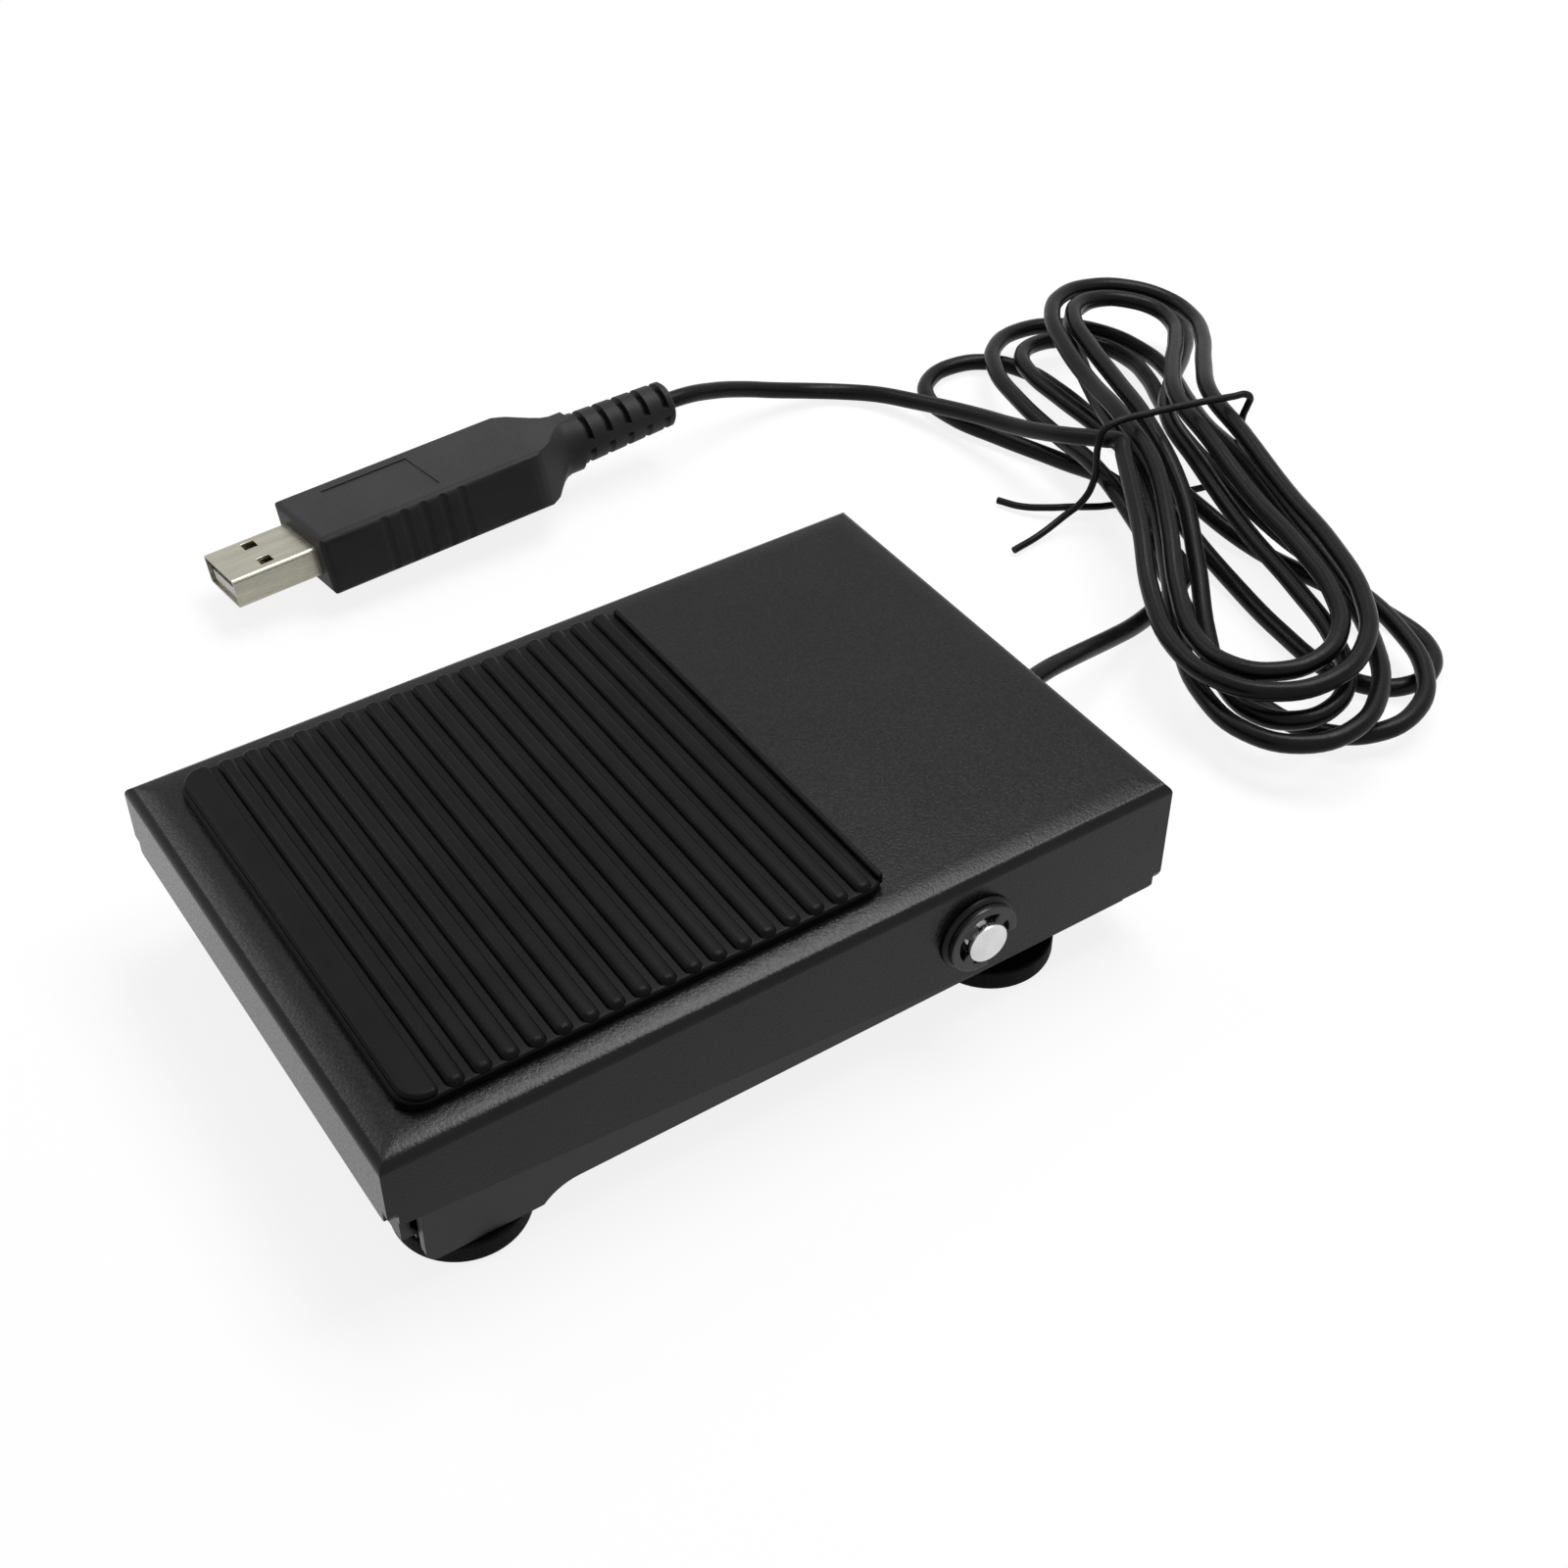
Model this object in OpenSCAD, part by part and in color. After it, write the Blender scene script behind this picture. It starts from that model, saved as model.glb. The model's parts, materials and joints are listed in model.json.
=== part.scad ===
// Foot pedal switch with a USB lead.
// A folded steel cover rocks on a pin across a folded steel tray. Two springs hold its front up,
// and a stud under the cover presses a key switch. The lead is tied in a hank behind the pedal,
// and its plug holds the encoder board.
// Front is -Y, the cable end is +Y, and the feet stand on z = 0.

/* [Pedal cover] */
// Length of the cover, front to rear
cover_l = 103; // [98:1:115]
// Width of the cover
cover_w = 68; // [66:1:80]
// Height of the cover's top face above the floor
cover_top = 24; // [23:0.5:28]
// Thickness of the sheet steel in the cover and the tray
sheet_t = 1.2; // [1:0.1:1.4]
// Outer radius of the cover's bends
bend_r = 2; // [1.6:0.1:3]
// Height of the front flange
front_flange_h = 10; // [8:0.5:11]
// Height of the flanges behind the pivot
rear_flange_h = 16; // [14:0.5:17]
// Distance from the pivot back to the end of the side flange's slope
slope_end = 3; // [0:0.5:8]
// Radius of the flanges' lower corners
flange_corner_r = 2; // [1:0.5:4]
// Width of the notch that lets the cable out of the rear flange
cable_notch_w = 10.4; // [9.8:0.2:14]

/* [Tread pad] */
// Length and width of the square rubber pad
pad_w = 60; // [50:1:62]
// Bare strip of cover in front of the pad
pad_front_gap = 5; // [3:0.5:8]
// Radius of the pad's corners
pad_r = 3; // [1:0.5:6]
// Thickness of the pad's flat sheet
pad_sheet_t = 0.8; // [0.5:0.1:1.2]
// Height of the ribs above the sheet
rib_h = 1.2; // [0.6:0.1:2]
// Width of a rib
rib_w = 2.3; // [1.6:0.1:2.6]
// Width of the groove between two ribs
rib_groove_w = 0.86; // [0.6:0.02:1.4]
// Width of the plain band at the front
pad_band_w = 3.8; // [2.6:0.2:5]
// Sheet left bare around the ribs
pad_margin = 0.4; // [0.2:0.1:1.5]

/* [Tray] */
// Room between the tray's sides and the cover
tray_side_gap = 0.5; // [0.4:0.1:1]
// Room between the tray's ends and the cover
tray_end_gap = 1.3; // [1:0.1:2.5]
// Gap left at the two stops, at rest and at full press
stop_gap = 0.3; // [0.2:0.05:0.5]
// Cut between the ends of the side walls and the end walls
corner_cut = 1.5; // [1:0.1:3]
// Height of the front wall above the floor
front_wall_top = 13; // [10:0.5:14]
// Length of the deeper skirt at the front of each side wall
skirt_l = 18.5; // [14:0.5:22]
// Drop of the skirt below the tray's floor
skirt_drop = 2; // [1:0.25:3]
// Radius where the skirt runs out
skirt_r = 6; // [4:0.5:9]
// Width of the slit between the floor and the skirt
skirt_slit = 1; // [0.6:0.1:1.5]
// Radius of the skirt's lower front corner
skirt_corner_r = 1.6; // [0.5:0.1:2]

/* [Feet] */
// Diameter of a rubber foot
foot_d = 16; // [13:0.5:17]
// Height of a foot
foot_h = 5.5; // [5:0.25:7]
// Diameter of the foot's neck, which passes beside the skirt
foot_neck_d = 11; // [9:0.25:11.5]
// Gap between the foot's shoulder and the skirt
foot_gap = 0.3; // [0.2:0.05:0.6]
// Distance of the feet from the centre line
foot_x = 25; // [22:0.5:25]
// Distance of the front feet from the tray's front
foot_front = 9; // [8:0.5:11]
// Distance of the rear feet from the tray's rear
foot_rear = 16.5; // [12:0.5:20]
// Depth of the recess for the screw's head
foot_seat_t = 2.6; // [2.4:0.1:3]

/* [Pivot] */
// Distance of the pivot behind the middle of the cover
pivot_y = 23; // [20:0.5:26]
// Depth of the pivot below the cover's top face
pivot_drop = 8.6; // [7.5:0.1:9.5]
// Diameter of the pivot pin
pin_d = 5.25; // [5:0.25:5.5]
// Length of pin past each retaining clip
pin_end = 1.5; // [0.6:0.1:2.5]
// Running clearance round the pin
pin_gap = 0.05; // [0.02:0.01:0.1]
// Clearance of fits that don't move
seat_gap = 0.02; // [0.01:0.01:0.05]
// Outer diameter of a bush's sleeve
bush_d = 7.2; // [6.8:0.1:8]
// Outer diameter of a bush's flange
bush_flange_d = 10.2; // [9.4:0.2:11]
// Thickness of a bush's flange
bush_flange_t = 0.8; // [0.5:0.1:1.2]
// Outer diameter of a retaining clip
clip_d = 9.2; // [8.6:0.1:10]
// Thickness of a retaining clip
clip_t = 0.8; // [0.5:0.1:1]
// Diameter of the pin's groove under a clip
groove_d = 4; // [3.6:0.1:4.2]
// How far the pedal turns when pressed, in degrees
press_angle = 4; // [3:0.25:4.5]

/* [Switch] */
// Distance of the switch in front of the pivot
switch_reach = 43; // [38:0.5:46]
// Width of the switch's square housing
switch_w = 14; // [12:0.5:15]
// Height of the switch's housing
switch_h = 5.8; // [5.4:0.1:6]
// Width of the switch's stem
stem_w = 5.6; // [4.5:0.1:6.5]
// Clearance round the stem
stem_gap = 0.15; // [0.08:0.01:0.25]
// Width of the stem's flange in the housing
stem_flange_w = 8.4; // [7.6:0.1:9]
// Length of the switch board
board_l = 28; // [26:1:32]
// Width of the switch board
board_w = 36; // [32:1:36]
// Thickness of the switch board and the plug's board
board_t = 1.6; // [1:0.1:1.6]
// Height of the spacers under the switch board
spacer_h = 2; // [1.5:0.1:2.2]
// Diameter of the spacers
spacer_d = 5; // [4.5:0.25:6]
// Diameter of the stud that presses the stem
stud_d = 7; // [5:0.5:9]
// Length of the stud below the cover
stud_l = 3; // [2.6:0.1:3.2]
// Gap from the stud to the stem at rest
stud_gap = 0.35; // [0.3:0.05:0.5]

/* [Springs] */
// Room between the return springs and the switch board
spring_gap = 1.2; // [0.6:0.1:2]
// Mean diameter of a return spring
spring_d = 7.6; // [6.5:0.1:8]
// Diameter of the spring wire
spring_wire = 1; // [0.8:0.1:1.2]
// Number of coils in a spring
spring_coils = 6; // [4:1:7]

/* [Cable] */
// Diameter of the cable
cable_d = 2.7; // [2.5:0.1:2.8]
// Height of the cable's exit above the floor
cable_z = 12; // [11.6:0.1:12.4]
// Clearance round the cable in the grommet and the clamp
cable_gap = 0.1; // [0.05:0.01:0.2]
// Outer diameter of the grommet's flanges
grommet_d = 9; // [8:0.25:9.25]
// Diameter of the grommet's neck in the wall
grommet_neck_d = 6.4; // [5.5:0.1:7]
// Thickness of the grommet's flanges
grommet_flange_t = 1.1; // [0.8:0.1:1.2]
// Distance of the cable clamp in front of the tray's rear end
clamp_reach = 16; // [15:0.5:17]
// Width of the clamp along the cable
clamp_w = 6; // [4:0.5:7]
// Thickness of the clamp's strap
clamp_t = 1; // [0.8:0.1:1.4]
// Diameter of an insulated core wire
core_d = 1; // [0.8:0.05:1.1]

/* [Plug] */
// Width of the plug's metal shell
shell_w = 12; // [11.9:0.05:12.1]
// Height of the plug's metal shell
shell_h = 4.5; // [4.4:0.05:4.6]
// Wall of the metal shell
shell_t = 0.3; // [0.25:0.05:0.4]
// Length of shell that shows
shell_l = 13; // [12:0.5:14.5]
// Length of shell inside the moulding
shell_inner_l = 5; // [4:0.5:6]
// Width of the plug's moulding
plug_w = 19; // [17:0.5:21]
// Height of the plug's moulding
plug_h = 9.2; // [8.6:0.2:10]
// Length of the moulding's straight part
plug_l = 34; // [32:1:38]
// Length of the tapered shoulder
plug_taper_l = 9; // [7:0.5:11]
// Length of the neck
neck_l = 2; // [1:0.5:4]
// Width of the neck
neck_w = 9.4; // [9:0.2:10]
// Height of the neck
neck_h = 8.6; // [8.4:0.1:8.8]
// Length of the ribbed strain relief
relief_l = 17; // [15:0.5:20]
// Diameter of the strain relief at the neck
relief_d1 = 8.2; // [7.8:0.1:8.4]
// Diameter of the strain relief at the cable
relief_d2 = 7.2; // [6.6:0.1:7.6]
// Width of a slot across the strain relief
relief_slot_w = 1.1; // [0.8:0.1:1.4]
// Depth of a slot
relief_slot_t = 1.2; // [0.8:0.1:1.4]
// Thickness of the spine that joins the strain relief's ribs at each side
relief_spine_t = 1.4; // [0.8:0.1:2.4]
// Number of slots along the strain relief
relief_n = 5; // [3:1:6]
// Width of the encoder board
encoder_w = 14; // [12:0.5:15]
// Width of the encoder chip
chip_w = 7; // [5:0.5:9]
// Thickness of the encoder chip
chip_t = 1.4; // [1:0.1:1.6]
// Number of grip flutes on each side
flute_n = 5; // [3:1:6]
// Distance from flute to flute
flute_pitch = 3.1; // [2.6:0.1:3.4]
// Distance of the first flute from the moulding's front
flute_start = 10; // [8:0.5:14]
// Diameter of the round that cuts a flute
flute_d = 2.2; // [1.6:0.1:2.4]
// Depth of a flute
flute_t = 0.35; // [0.2:0.05:0.5]
// Radius of the moulding's long edges
plug_r = 1.2; // [0.6:0.1:2]
// Width of the shallow panel in the top
panel_w = 12.6; // [10:0.2:14]
// Length of the shallow panel
panel_l = 14; // [10:0.5:16]
// Depth of the shallow panel
panel_t = 0.15; // [0.1:0.05:0.3]

/* [Screws] */
// Diameter of the foot and clamp screws
screw_d = 3; // [2.5:0.25:3.25]
// Diameter of their heads
head_d = 5.6; // [5:0.2:6]
// Height of their heads
head_h = 1.8; // [1.4:0.1:2]
// Diameter of the board screws
small_screw_d = 2.5; // [2:0.25:3]
// Clearance round a screw
screw_gap = 0.1; // [0.05:0.05:0.2]
// Width across a nut's flats
nut_w = 5.5; // [5:0.25:6]
// Height of a nut
nut_h = 2.4; // [2:0.1:2.6]

/* [Hidden] */

// Rounds
$fn = 64;
// Overlap that keeps cuts clean
eps = 0.01;

// Cover
under_z = cover_top - sheet_t;
pivot_z = cover_top - pivot_drop;
front_edge_z = cover_top - front_flange_h;
rear_edge_z = cover_top - rear_flange_h;
cover_in_w = cover_w - 2 * sheet_t;
cover_in_l = cover_l - 2 * sheet_t;

// Pad: as many ribs as the room behind the plain band takes, and a narrow band in what is left
pad_front = -cover_l / 2 + pad_front_gap;
rear_band_min = 0.6;
rib_pitch = rib_w + rib_groove_w;
rib_start = pad_front + pad_margin + pad_band_w + rib_groove_w;
rib_n = floor((pad_front + pad_w - pad_margin - rear_band_min - rib_start) / rib_pitch);

// Tray
floor_z = foot_h;
floor_top = floor_z + sheet_t;
tray_w = cover_in_w - 2 * tray_side_gap;
tray_l = cover_in_l - 2 * tray_end_gap;
tray_in_w = tray_w - 2 * sheet_t;
wall_l = tray_l - 2 * corner_cut;
stop_z = under_z - stop_gap;
feet = [
    for (y = [-tray_l / 2 + foot_front, tray_l / 2 - foot_rear])
        for (side = [-1, 1])
            [side * foot_x, y]
];
foot_shoulder_z = floor_z - skirt_drop - foot_gap;
foot_edge = 0.6;
// Room round a screw's head in its recess
head_room = 0.7;
// Small edge broken on screws, pin and moulded pieces
edge = 0.4;

// Pivot: bush flange, clip and pin end stand one after another outside the cover
bush_out_x = cover_w / 2 + bush_flange_t;
clip_x = bush_out_x + pin_gap;
pin_l = 2 * (clip_x + clip_t + seat_gap + pin_end);
clip_ring_w = 1.1;
clip_prong_w = 1.8;
// Half width of the clip's mouth for each length out from the middle
clip_mouth = 0.72;

// Switch
switch_y = pivot_y - switch_reach;
board_z = floor_top + spacer_h;
switch_z = board_z + board_t;
switch_top = switch_z + switch_h;
stud_z = under_z - stud_l;
stem_top = stud_z - stud_gap;
stem_lid = 0.9;
stem_flange_t = 1;
housing_floor = 0.5;
spacer_inset = 1;
spacer_x = board_w / 2 - spacer_d / 2 - spacer_inset;
spacer_y = board_l / 2 - spacer_d / 2 - spacer_inset;
spring_x = board_w / 2 + spring_gap + (spring_d + spring_wire) / 2;
// Room left at a spring's foot and head, and the bosses that centre it
spring_low_gap = 0.05;
spring_top_gap = 0.15;
boss_gap = 0.4;
boss_h = 2;

// Cable inside the tray
clamp_y = tray_l / 2 - clamp_reach;
clamp_cable_z = floor_top + cable_d / 2 + cable_gap;
clamp_room = 0.8;
clamp_screw_x = cable_d / 2 + clamp_t + head_d / 2 + clamp_room;
jacket_end = [0, clamp_y - clamp_w, clamp_cable_z];
rise_from = clamp_y + clamp_w / 2;
rise_to = tray_l / 2 - sheet_t - 2;

function unit(v) = v / norm(v);
function ease(x) = let (c = min(1, max(0, x))) c * c * (3 - 2 * c);

// Cable from its jacket's end, through the clamp and up to the grommet
inner_route = concat(
    [jacket_end, [0, clamp_y - 1.5, clamp_cable_z]],
    [
        for (f = [0 : 0.25 : 1])
            [0, rise_from + f * (rise_to - rise_from), clamp_cable_z + ease(f) * (cable_z - clamp_cable_z)]
    ]
);

// Everything from here on lies behind the pedal and is measured from the cover's rear edge
rear = [0, cover_l / 2, 0];
// Cable from the grommet down to the hank
lead_route = [
    [0, 0.5, cable_z], [-1, 5.5, cable_z], [-3, 11.5, 11], [-5, 17.5, 9.2], [-7.2, 23.5, 7],
    [-9.2, 29, 5], [-11.2, 34.5, 3.2], [-13.2, 39.5, 2], [-14.8, 43.5, 1.5], [-16.2, 47.5, 1.5],
    [-18.4, 50.8, 1.5]
];
// Cable from the hank to the plug
tail_route = [
    [-39.4, 51.3, 13.4], [-45, 49.5, 11.6], [-51, 48.7, 9.4], [-57.5, 48.3, 7.2], [-64, 47.5, 5.6],
    [-70.5, 46, 4.2], [-77, 43.9, 2.9], [-83, 41.1, 2], [-87.4, 37.1, 1.6], [-90, 32, 2.2],
    [-90.9, 26, 3.9], [-91, 20, 6.1], [-90.4, 14, 8.2]
];

// Hank: the loops' middle, the bearing of their length, and how the strands lie
hank_at = [-36, 61.5, 0];
hank_turn = -14;
// Rings of the tube in one loop
hank_rings = 24;
// Distance of the inner strands from the middle of the waist, and the spread to the outer ones
waist_in = 2.2;
waist_spread = 8;
// Width of the loops' ends, and the extra of the outer loops
loop_w = 20;
loop_spread = 10;
loop_step = 6.5;
// Length over which a fan turns away from the waist
fan_lead = 12;
// Height of a layer, the lowest strand, and the lift that leaves room for the tie
layer_h = 3.9;
strand_z = 1.45;
waist_lift = 1.6;
// Each layer's reach and fan angle, and the levels its near and far strands rest on,
// at the far end (left of the pedal) and at the near end
far_reach = [50, 46, 51, 46];
far_fan = [-27, 4, 25, 20];
far_near_level = [0, 1, 2, 3];
far_far_level = [0, 0, 1, 2];
near_reach = [58, 61, 65, 57];
near_fan = [17, 3, -11, -12];
near_near_level = [0, 0, 1, 2];
near_far_level = [0, 1, 2, 3];
// Half turns at which the hank starts and ends, just short of the waist: six loops
hank_start = 0.44;
hank_end = 12.45;

// Tie round the waist: thickness and route, in the hank's own axes
tie_d = 1.1;
tie_route = [
    [5, -27, 0.8], [3, -22, 1], [1.6, -17.5, 2.4], [1.2, -14, 4.6], [1, -12.6, 7.5],
    [1, -12.5, 14], [0.9, -11.9, 16.1], [0.8, -10.3, 17], [0.5, -4, 17.3], [0.3, 4, 17.3],
    [0.1, 10.3, 17], [0, 11.9, 16.1], [-0.2, 12.5, 14], [-0.4, 12.5, 4], [-0.5, 11.9, 1.6],
    [-0.6, 10, 0.7], [-0.8, 0, 0.65], [-1, -10, 0.7], [-1.2, -14, 1.6], [-2.4, -18, 1.6],
    [-5, -21.5, 0.9], [-8, -24, 0.7]
];

// Plug: where its front lies, how it leans on the floor, and its places along its own axis
plug_at = [-89.5, -70.2, 5.7];
plug_pitch = 3;
plug_roll = -12;
plug_shoulder = shell_l + plug_l;
plug_neck = plug_shoulder + plug_taper_l;
plug_back = plug_neck + neck_l;
plug_end = plug_back + relief_l;
shell_end = shell_l + shell_inner_l;
panel_y = shell_l + 0.4 * plug_l;
// Standard sizes of the metal plug's inside
tongue_t = 1.84;
tongue_inset = 0.6;
contact_x = [-3.5, -1, 1, 3.5];
contact_size = [1, 8.5, 0.2];
contact_y = 1.8;
latch_x = 3.25;
latch_y = 6.2;
latch_size = [2.4, 2];
tongue_z = -shell_h / 2 + shell_t + seat_gap;

function heading(path, i) = unit(path[min(i + 1, len(path) - 1)] - path[max(i - 1, 0)]);

// One closed tube of triangles along a path
module tube(path, d, sides, ref = [0, 0, 1]) {
    rings = len(path);
    ring_points = [
        for (i = [0 : rings - 1])
            let (along = heading(path, i), across = unit(cross(ref, along)), up = cross(along, across))
                for (k = [0 : sides - 1])
                    path[i] + d / 2 * (across * cos(360 * k / sides) + up * sin(360 * k / sides))
    ];
    last = (rings - 1) * sides;
    wall = [
        for (i = [0 : rings - 2])
            for (k = [0 : sides - 1])
                let (a = i * sides + k, b = i * sides + (k + 1) % sides)
                    each [[a, a + sides, b], [b, a + sides, b + sides]]
    ];
    caps = [
        for (k = [1 : sides - 2])
            each [[0, k, k + 1], [last, last + k + 1, last + k]]
    ];
    polyhedron(points = ring_points, faces = concat(wall, caps));
}

// Rectangle with round corners, centred
module round_rect(w, h, r) {
    square([w - 2 * r, h], center = true);
    square([w, h - 2 * r], center = true);
    for (sx = [-1, 1])
        for (sy = [-1, 1])
            translate([sx * (w / 2 - r), sy * (h / 2 - r)])
                circle(r);
}

// Upright profile with round top corners, standing on the x axis
module arch(w, top, r) {
    translate([-w / 2, 0])
        square([w, top - r]);
    translate([-w / 2 + r, 0])
        square([w - 2 * r, top]);
    for (side = [-1, 1])
        translate([side * (w / 2 - r), top - r])
            circle(r);
}

// Extrude a front view along Y, a side view along X
module along_y(l) {
    rotate([90, 0, 0])
        linear_extrude(l, center = true)
            children();
}
module along_x(l) {
    rotate([90, 0, 90])
        linear_extrude(l, center = true)
            children();
}

// Folded box that the cover is made from, or its hollow
module cover_box(inset) {
    intersection() {
        along_y(cover_l - 2 * inset)
            arch(cover_w - 2 * inset, cover_top - inset, bend_r - inset);
        along_x(cover_w - 2 * inset)
            arch(cover_l - 2 * inset, cover_top - inset, bend_r - inset);
    }
}

// Piece that rounds the lower corner of a flange, at the origin
module corner_scrap(r) {
    difference() {
        translate([-1, -1])
            square([r + 1, r + 1]);
        translate([r, r])
            circle(r);
    }
}

module pedal_cover() {
    color("#1b1b1c")
    difference() {
        cover_box(0);
        cover_box(sheet_t);
        // Lower edge: sloped up to the front, level behind the pivot
        along_x(cover_w + 2)
            polygon([
                [-cover_l / 2 - 1, -1], [cover_l / 2 + 1, -1], [cover_l / 2 + 1, rear_edge_z],
                [pivot_y + slope_end, rear_edge_z], [-cover_l / 2, front_edge_z],
                [-cover_l / 2 - 1, front_edge_z]
            ]);
        for (side = [-1, 1]) {
            // Round lower corners of the side flanges
            translate([side * (cover_w / 2 - sheet_t / 2), -cover_l / 2, front_edge_z])
                along_x(sheet_t)
                    corner_scrap(flange_corner_r);
            translate([side * (cover_w / 2 - sheet_t / 2), cover_l / 2, rear_edge_z])
                along_x(sheet_t)
                    mirror([1, 0])
                        corner_scrap(flange_corner_r);
            // Round lower corners of the end flanges
            translate([side * cover_w / 2, -cover_l / 2 + sheet_t / 2, front_edge_z])
                along_y(sheet_t)
                    scale([-side, 1])
                        corner_scrap(flange_corner_r);
            translate([side * cover_w / 2, cover_l / 2 - sheet_t / 2, rear_edge_z])
                along_y(sheet_t)
                    scale([-side, 1])
                        corner_scrap(flange_corner_r);
        }
        // Bores for the bushes
        translate([0, pivot_y, pivot_z])
            rotate([0, 90, 0])
                cylinder(d = bush_d + 2 * seat_gap, h = cover_w + 2, center = true);
        // Notch for the cable
        translate([0, cover_l / 2 - sheet_t / 2, cable_z])
            along_y(sheet_t + 2 * eps) {
                circle(d = cable_notch_w);
                translate([-cable_notch_w / 2, -cable_z])
                    square([cable_notch_w, cable_z]);
            }
        // Hole for the stud's shank
        translate([0, switch_y, under_z - 1])
            cylinder(d = stud_d / 2 + 2 * seat_gap, h = sheet_t + 2);
    }
}

module pad_outline(inset) {
    translate([0, pad_front + pad_w / 2])
        round_rect(pad_w - 2 * inset, pad_w - 2 * inset, pad_r - inset);
}
module tread_pad() {
    rear_band_y = rib_start + rib_n * rib_pitch;
    color("#101011")
    translate([0, 0, cover_top]) {
        linear_extrude(pad_sheet_t)
            pad_outline(0);
        linear_extrude(pad_sheet_t + rib_h) {
            // Plain bands at the front and the rear, with the pad's own corners
            intersection() {
                pad_outline(pad_margin);
                union() {
                    translate([-pad_w / 2, pad_front])
                        square([pad_w, pad_margin + pad_band_w]);
                    translate([-pad_w / 2, rear_band_y])
                        square([pad_w, pad_front + pad_w - rear_band_y]);
                }
            }
            // Ribs with round ends
            for (i = [0 : rib_n - 1])
                translate([0, rib_start + i * rib_pitch + rib_w / 2])
                    round_rect(pad_w - 2 * pad_margin, rib_w, rib_w / 2 - eps);
        }
    }
}

module press_stud() {
    color("#b9bbbd")
    translate([0, switch_y, 0]) {
        translate([0, 0, stud_z])
            cylinder(d = stud_d, h = stud_l);
        translate([0, 0, under_z])
            cylinder(d = stud_d / 2, h = sheet_t);
    }
}

// Side wall of the tray, seen from the side
module side_wall_profile() {
    front = -wall_l / 2;
    skirt_end = -tray_l / 2 + skirt_l + corner_cut;
    polygon([
        [front, floor_z], [wall_l / 2, floor_z], [wall_l / 2, stop_z], [pivot_y, stop_z],
        [front, stop_z - (pivot_y - front) * tan(press_angle)]
    ]);
    difference() {
        translate([front, floor_z - skirt_drop])
            square([skirt_end - front, skirt_drop + sheet_t]);
        translate([skirt_end, floor_z - skirt_r])
            circle(skirt_r);
        translate([front, floor_z - skirt_drop])
            corner_scrap(skirt_corner_r);
    }
}

module base_tray() {
    slit_l = skirt_l + 2 * corner_cut;
    color("#222223")
    difference() {
        union() {
            // Floor
            translate([-tray_in_w / 2 - eps, -wall_l / 2, floor_z])
                cube([tray_in_w + 2 * eps, wall_l, sheet_t]);
            // Side walls
            for (side = [-1, 1])
                translate([side * (tray_w - sheet_t) / 2, 0, 0])
                    along_x(sheet_t)
                        side_wall_profile();
            // Front and rear walls, folded up from narrower tongues of the floor
            translate([-tray_in_w / 2 + corner_cut, -tray_l / 2, floor_z])
                cube([tray_in_w - 2 * corner_cut, tray_l, sheet_t]);
            translate([-tray_in_w / 2 + corner_cut, -tray_l / 2, floor_z])
                cube([tray_in_w - 2 * corner_cut, sheet_t, front_wall_top - floor_z]);
            translate([-tray_in_w / 2 + corner_cut, tray_l / 2 - sheet_t, floor_z])
                cube([tray_in_w - 2 * corner_cut, sheet_t, stop_z - floor_z]);
            // Bosses that centre the springs
            for (side = [-1, 1])
                translate([side * spring_x, switch_y, floor_top - eps])
                    cylinder(d = spring_d - spring_wire - 2 * boss_gap, h = boss_h);
        }
        // Slits that free the skirts from the floor
        for (side = [-1, 1])
            translate([side * (tray_in_w - skirt_slit) / 2, -tray_l / 2 + slit_l / 2 - eps, floor_z])
                cube([skirt_slit, slit_l, 2 * sheet_t + 2 * eps], center = true);
        // Holes for the foot screws and the clamp screw
        for (at = feet)
            translate([at.x, at.y, floor_z - 1])
                cylinder(d = screw_d + 2 * screw_gap, h = sheet_t + 2);
        translate([clamp_screw_x, clamp_y, floor_z - 1])
            cylinder(d = screw_d + 2 * seat_gap, h = sheet_t + 2);
        // Holes for the pivot pin
        translate([0, pivot_y, pivot_z])
            rotate([0, 90, 0])
                cylinder(d = pin_d + 2 * seat_gap, h = tray_w + 2, center = true);
        // Hole for the grommet
        translate([0, tray_l / 2, cable_z])
            rotate([90, 0, 0])
                cylinder(d = grommet_neck_d + 2 * seat_gap, h = 4 * sheet_t, center = true);
    }
}

// Rubber foot with a shoulder below the skirt, a neck beside it and a recess for its screw
module rubber_foot(at) {
    bore = screw_d / 2 + screw_gap;
    recess = head_d / 2 + head_room;
    color("#141414")
    translate([at.x, at.y, 0])
        rotate_extrude()
            polygon([
                [bore, foot_seat_t], [recess, foot_seat_t], [recess, 0], [foot_d / 2 - foot_edge, 0],
                [foot_d / 2, foot_edge], [foot_d / 2, foot_shoulder_z], [foot_neck_d / 2, foot_shoulder_z],
                [foot_neck_d / 2, foot_h], [bore, foot_h]
            ]);
}
module rubber_foot_front_left() { rubber_foot(feet[0]); }
module rubber_foot_front_right() { rubber_foot(feet[1]); }
module rubber_foot_rear_left() { rubber_foot(feet[2]); }
module rubber_foot_rear_right() { rubber_foot(feet[3]); }

// Pan head screw with its seat at z = 0 and its shank going down
module pan_screw(d, head, l) {
    rotate_extrude()
        polygon([
            [0, -l], [d / 2 - edge, -l], [d / 2, edge - l], [d / 2, 0], [head / 2, 0],
            [head / 2, head_h / 2], [head / 2 - 2 * edge, head_h], [0, head_h]
        ]);
}

module foot_screws() {
    color("#9b9da0")
    for (at = feet)
        translate([at.x, at.y, foot_seat_t])
            rotate([180, 0, 0])
                pan_screw(screw_d, head_d, floor_top + nut_h + 1 - foot_seat_t);
}

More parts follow.
